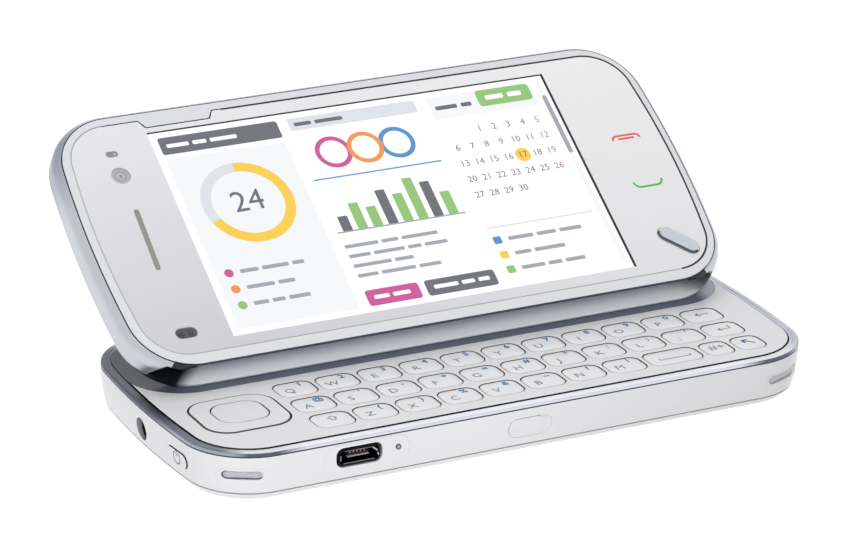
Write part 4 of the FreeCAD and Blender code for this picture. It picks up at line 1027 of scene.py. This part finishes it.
def draw_middle_column(page):
    """A tab, overlapping rings over a column chart, lines of text and two buttons."""
    chart_foot = -4.6
    page.tile(MIDDLE_COLUMN, (17.9, PAGE_HIGH), 2, MIST, 0.4)
    page.words(-11.6, 18.8, BAR, (3.3, 5.4), 3, DARK)
    for x, hex_code in ((-6.6, ROSE), (-0.4, AMBER), (5.8, SKY)):
        page.band(x, 12.2, 3.0, 0.9, 0, ALL_ROUND, 2 + (hex_code == AMBER), hex_code)
    page.tile(MIDDLE_COLUMN, (6.7, 7.0), 2, SKY)
    for column, height in enumerate((3.2, 5.6, 4.3, 7.4, 6.1, 9.0, 7.7, 5.0)):
        x = -11.4 + 2.95 * column
        page.tile((x, x + 1.9), (chart_foot, chart_foot + height), 2, LEAF if column % 3 else DARK, 0.2)
    page.tile(MIDDLE_COLUMN, (-4.9, chart_foot), 2, MIDDLE)
    for row, lengths in enumerate(((6.4, 3.2, 7.0), (4.1, 5.9, 2.6, 4.4), (7.3, 3.6), (3.9, 6.6, 4.2))):
        page.words(-12.4, -8.2 - 2.1 * row, 0.75, lengths, 2, MIDDLE)
    page.tile((-12.6, -2.4), (PAGE_LOW, -17.3), 2, ROSE, 0.6)
    page.words(-11.2, -19.3, BAR, (2.9, 3.3), 3, WHITE)
    page.tile((-1.2, 12.4), (PAGE_LOW, -17.3), 2, DARK, 0.6)
    page.words(0.3, -19.3, BAR, (4.7, 2.5, 2.2), 3, WHITE)


def draw_right_column(page):
    """Two tabs, a month of plain numbers with one day marked, and a legend."""
    marked_day, first_weekday, red_weekday = 17, 1, 6
    page.tile(RIGHT_COLUMN, (15.6, PAGE_HIGH), 2, PALE, 0.5)
    page.tile((24.6, 35.4), (17.0, PAGE_HIGH), 3, LEAF, 0.7)
    page.words(26.2, 18.3, 1.0, (3.6, 2.8), 4, WHITE)
    page.words(15.9, 17.6, 0.9, (4.3, 2.1), 3, DARK)
    for day in range(1, 31):
        week, weekday = divmod(day + first_weekday, 7)
        x, y = 16.6 + 2.9 * weekday, 12.4 - 3.5 * week
        if day == marked_day:
            page.dot(x, y, 1.5, 2, SUN)
        page.figure(str(day), 1.9, x, y, 3, ROSE if weekday == red_weekday else DARK)
    page.tile(RIGHT_COLUMN, (-9.0, -8.7), 2, MIST)
    legend = ((SKY, (5.0, 3.8, 4.4)), (SUN, (3.2, 6.1)), (LEAF, (4.6, 2.7, 3.9)))
    for row, (hex_code, lengths) in enumerate(legend):
        y = -11.6 - 3.2 * row
        page.tile((15.0, 16.6), (y - 0.8, y + 0.8), 2, hex_code, 0.3)
        page.words(17.9, y - BAR / 2, BAR, lengths, 2, MIDDLE)


def make_screen():
    """A plain start page on the lit screen, with the black edge that shows beyond it at the right and top."""
    page = Picture()
    half_x, half_y, right_edge, top_edge = SCREEN_LENGTH / 2, SCREEN_DEPTH / 2, 0.5, 0.34
    page.parts.append(slab((-half_x, half_x + right_edge), (-half_y, half_y + top_edge), 0, *page.levels(0),
                           matt_black_and_painted_shade))
    page.tile((-half_x, half_x), (-half_y, half_y), 1, WHITE)
    draw_left_column(page)
    draw_middle_column(page)
    draw_right_column(page)
    page.tile(SCROLL_BAR, (PAGE_LOW, PAGE_HIGH), 2, PALE, 0.45)
    page.tile(SCROLL_BAR, (4.2, 17.4), 3, MIDDLE, 0.45)
    seat(join_pieces(*page.parts), "screen_picture", "display", at=(SCREEN_X, SCREEN_Y, 0),
         into=RAISE_DISPLAY)


def make_call_signs():
    """The two printed call signs: a receiver's arch with a bar under it, and an open arch."""
    width, low, high = 0.42, FILM_TOP - LAYER, FILM_TOP + LAYER
    signs_x, end_y, answer_y = 48.8, 5.6, -5.3
    arch = swept_line(width, low, high, (-2.75, -0.7), 90, [(0.9, -90), 3.7, (0.9, -90)], sign_red)
    bar = swept_line(width, low, high, (-1.6, -0.5), 0, [3.2], sign_red)
    seat(join_pieces(arch, bar), "end_call_sign", "display", at=(signs_x, end_y, 0),
         into=RAISE_DISPLAY)
    open_arch = swept_line(width, low, high, (-2.85, 0.75), -90, [(0.2, 0.1), (1.25, 90), 3.2, (1.25, 90)],
                           sign_green)
    seat(open_arch, "answer_call_sign", "display", at=(signs_x, answer_y, 0),
         into=RAISE_DISPLAY)


def make_sensors():
    """What lies in the window's recesses: the front camera, two sensors, and the earpiece's cloth."""
    floor = FILM_TOP - 0.3
    top = floor + 0.06
    camera = join_pieces(disc(0, 0, 1.72, floor, top, silver_acrylic, 48),
                         ring(1.0, 0.12, floor, top + 0.02, grey_acrylic),
                         ring(0.42, 0.12, floor, top + 0.02, silver_acrylic),
                         disc(0, 0, 0.26, floor, top + 0.04, grey_acrylic))
    # the light sensor: a grey window with a painted highlight at its right end
    light = join_pieces(slab((-1.1, 1.1), (-0.6, 0.6), 0.6, floor, top, grey_acrylic),
                        disc(0.62, 0.1, 0.3, floor, top + 0.02, silver_acrylic, 24))
    near = join_pieces(slab((-1.95, 1.95), (-1.05, 1.05), 1.04, floor, top, smoke_acrylic),
                       disc(-0.85, 0, 0.62, floor, top + 0.03, camera_glass),
                       disc(0.85, 0, 0.62, floor, top + 0.03, camera_glass))
    cloth = slab((-6.5, 6.5), (-0.5, 0.5), 0.5, -0.7, -0.26, acoustic_cloth())
    for piece, name, x, y, turn in ((camera, "front_camera", -46.9, 13.81, 0),
                                    (light, "light_sensor", -46.9, 18.51, 0),
                                    (near, "proximity_sensor", -47.1, -19.79, 0),
                                    (cloth, "earpiece_cloth", -47.05, -0.05, 88)):
        seat(piece, name, "display", at=(x, y, 0), turn=turn, into=RAISE_DISPLAY)


def make_window_bead(name, side, inset, width, low, high, last_run, material):
    """Half of a thin line in the groove round the window, pale as painted light on the near half and black as
    painted shade on the far: side is 1 for the near half, -1 the far.
    """
    corner_x, half_y, window_x, window_y = 46.8, 24.5, 0.15, 0.2
    corner_radius, end_radius, end_turn = 8.2, 148.86, 6.655
    corner = [(corner_radius - inset, (90 - end_turn) / 6)] * 6
    end = [(end_radius - inset, end_turn / 6)] * 12
    edge_line = swept_line(width, low, high, (-side * corner_x, side * (half_y - inset)), 90 + side * 90,
                      corner + end + corner + [corner_x + last_run], material)
    seat(edge_line, name, "display", at=(window_x, window_y, 0), into=RAISE_DISPLAY)


# ---------------------------------------------------------------- base
FRONT = 270                        # degrees that the front wall looks
USB_X, USB_FACE_Y, USB_Z = -31.2, -27.6, 7.95
INDICATOR = (-24.1, -27.53, 8.15, FRONT)
POWER_KEY_X, POWER_KEY_LOOKS = -58.05, 184.3
SPEAKERS = {"left": (-51.85, -26.1, 7.45, 240.5, slate_shade_and_reflection), "right": (50.7, -26.67, 7.15, 293.4, painted_grey_shade)}
MESH_LENGTH, MESH_DEPTH, MESH_WIRE, MESH_INSET = 7.0, 1.9, 0.14, 0.98


def make_usb_contacts():
    """Five sprung contacts that stand on the socket's tongue."""
    pitch, width, first_x = 0.65, 0.26, USB_X - 1.6
    tip_y, root_y, low, high = USB_FACE_Y + 0.98, USB_FACE_Y + 3.6, 5.95, 6.36
    fingers = []
    for place in range(5):
        x = first_x + pitch * place
        fingers.append(slab((x, x + width), (tip_y, root_y), 0.05, low, high, contact_gold))
    seat(join_pieces(*fingers), "usb_contacts", "base")


def make_usb_edges():
    """Painted highlights just inside the socket's mouth: pale and grey strokes where the folds of its steel
    shell catch the light, and a grey bar across the tongue further in.
    """
    low, high = -0.46, -0.39
    strokes = [swept_line(0.22, low, high, (2.4, 1.0), -40, [1.15], silver_acrylic),
               swept_line(0.18, low, high, (3.35, -0.1), -70, [0.5], silver_acrylic),
               swept_line(0.14, low, high, (-3.38, 0.35), -90, [0.9], grey_acrylic),
               swept_line(0.08, low, high, (-2.9, -1.06), 0, [5.6], grey_acrylic),
               swept_line(0.06, low, high, (-2.6, 1.06), 0, [4.8], grey_acrylic),
               swept_line(0.22, -1.5, -0.95, (-1.95, -0.19), 0, [3.9], grey_acrylic)]
    seat(join_pieces(*strokes), "usb_painted_glints", "base",
         into=on_wall(USB_X, USB_FACE_Y, USB_Z, FRONT))


def make_speaker_meshes():
    """A woven grille behind each loudspeaker slot, with a line of painted shade along its lower edge."""
    half_length, half_depth = MESH_LENGTH / 2, MESH_DEPTH / 2
    for side, (x, y, z, outward, edge_shade) in SPEAKERS.items():
        deselect()
        bpy.ops.mesh.primitive_grid_add(x_subdivisions=26, y_subdivisions=7, size=1)
        grille = bpy.context.object
        grille.scale = (MESH_LENGTH, MESH_DEPTH, 1)
        apply_place()
        wires = grille.modifiers.new("wires", "WIREFRAME")
        wires.thickness, wires.use_even_offset = MESH_WIRE, False
        bpy.ops.object.modifier_apply(modifier=wires.name)
        grille.data.materials.append(mesh_steel)
        backing = slab((-half_length, half_length), (-half_depth, half_depth), 0.9, -0.25, -0.1, panel_white)
        # painted shade: a dark line along the slot's lower edge
        lower_edge = swept_line(0.24, 0.02, 0.1, (-2.6, 0.7), 180, [(0.7, 180), 5.2, (0.7, 60)], edge_shade)
        join_pieces(grille, backing, lower_edge)
        seat(grille, "speaker_grille_" + side, "base", at=(0, 0, -MESH_INSET),
             into=on_wall(x, y, z, outward))


def make_indicator():
    """The charging light's lens in its small hole, with the hole's dark edge."""
    lamp = join_pieces(ring(0.4, 0.14, -1.4, -0.12, smoke_acrylic),
                       disc(0, 0, 0.34, -1.4, -0.16, milk_acrylic, bevel=0.05))
    seat(lamp, "indicator_lens", "base", into=on_wall(*INDICATOR))


def make_power_sign():
    """The power key's sign, as a print that follows the key's own slope: an open ring and a stroke."""
    low, high = -0.05, 0.012
    sign = join_pieces(arc_band(0, -0.05, 1.1, 0.23, 120, 300, low, high, legend_grey),
                       swept_line(0.26, low, high, (0, 0.2), 90, [0.95], legend_grey))
    seat(sign, "power_sign", "power_key",
         into=seat_on("power_key", POWER_KEY_X, POWER_KEY_Y, POWER_KEY_Z, POWER_KEY_LOOKS))


def make_camera_lens():
    """The lens behind its sliding cover: a plated ring, a black stop, and the front glass."""
    lens_x, lens_z = -37.5, 1.75 - FOOT
    rings = join_pieces(ring(3.2, 0.7, -0.28, 0.12, chrome_bright),
                        ring(2.1, 0.5, -0.28, -0.05, smoke_acrylic),
                        disc(0, 0, 2.3, -0.3, -0.2, camera_glass, 48, 0.04))
    seat(rings, "camera_lens", "base",
         into=Matrix.Translation((lens_x, 0, lens_z)) @ Matrix.Rotation(math.pi, 4, "X"))


# ---------------------------------------------------------------- put it together
make_camera()
light_scene()
paint_floor()
finish_nodes()
make_keys()
make_screen()
make_call_signs()
make_sensors()
make_usb_contacts()
make_usb_edges()
# painted light along the near half of the window's edge, painted shade along the far half
make_window_bead("window_edge_painted_light", 1, 0.1, 0.18, -0.4, -0.06, 46.8, painted_lit_edge)
make_window_bead("window_edge_painted_shade", -1, 0.18, 0.34, -0.03, -0.005, 24.3, matt_black_and_painted_shade)
make_speaker_meshes()
make_indicator()
make_power_sign()
make_camera_lens()
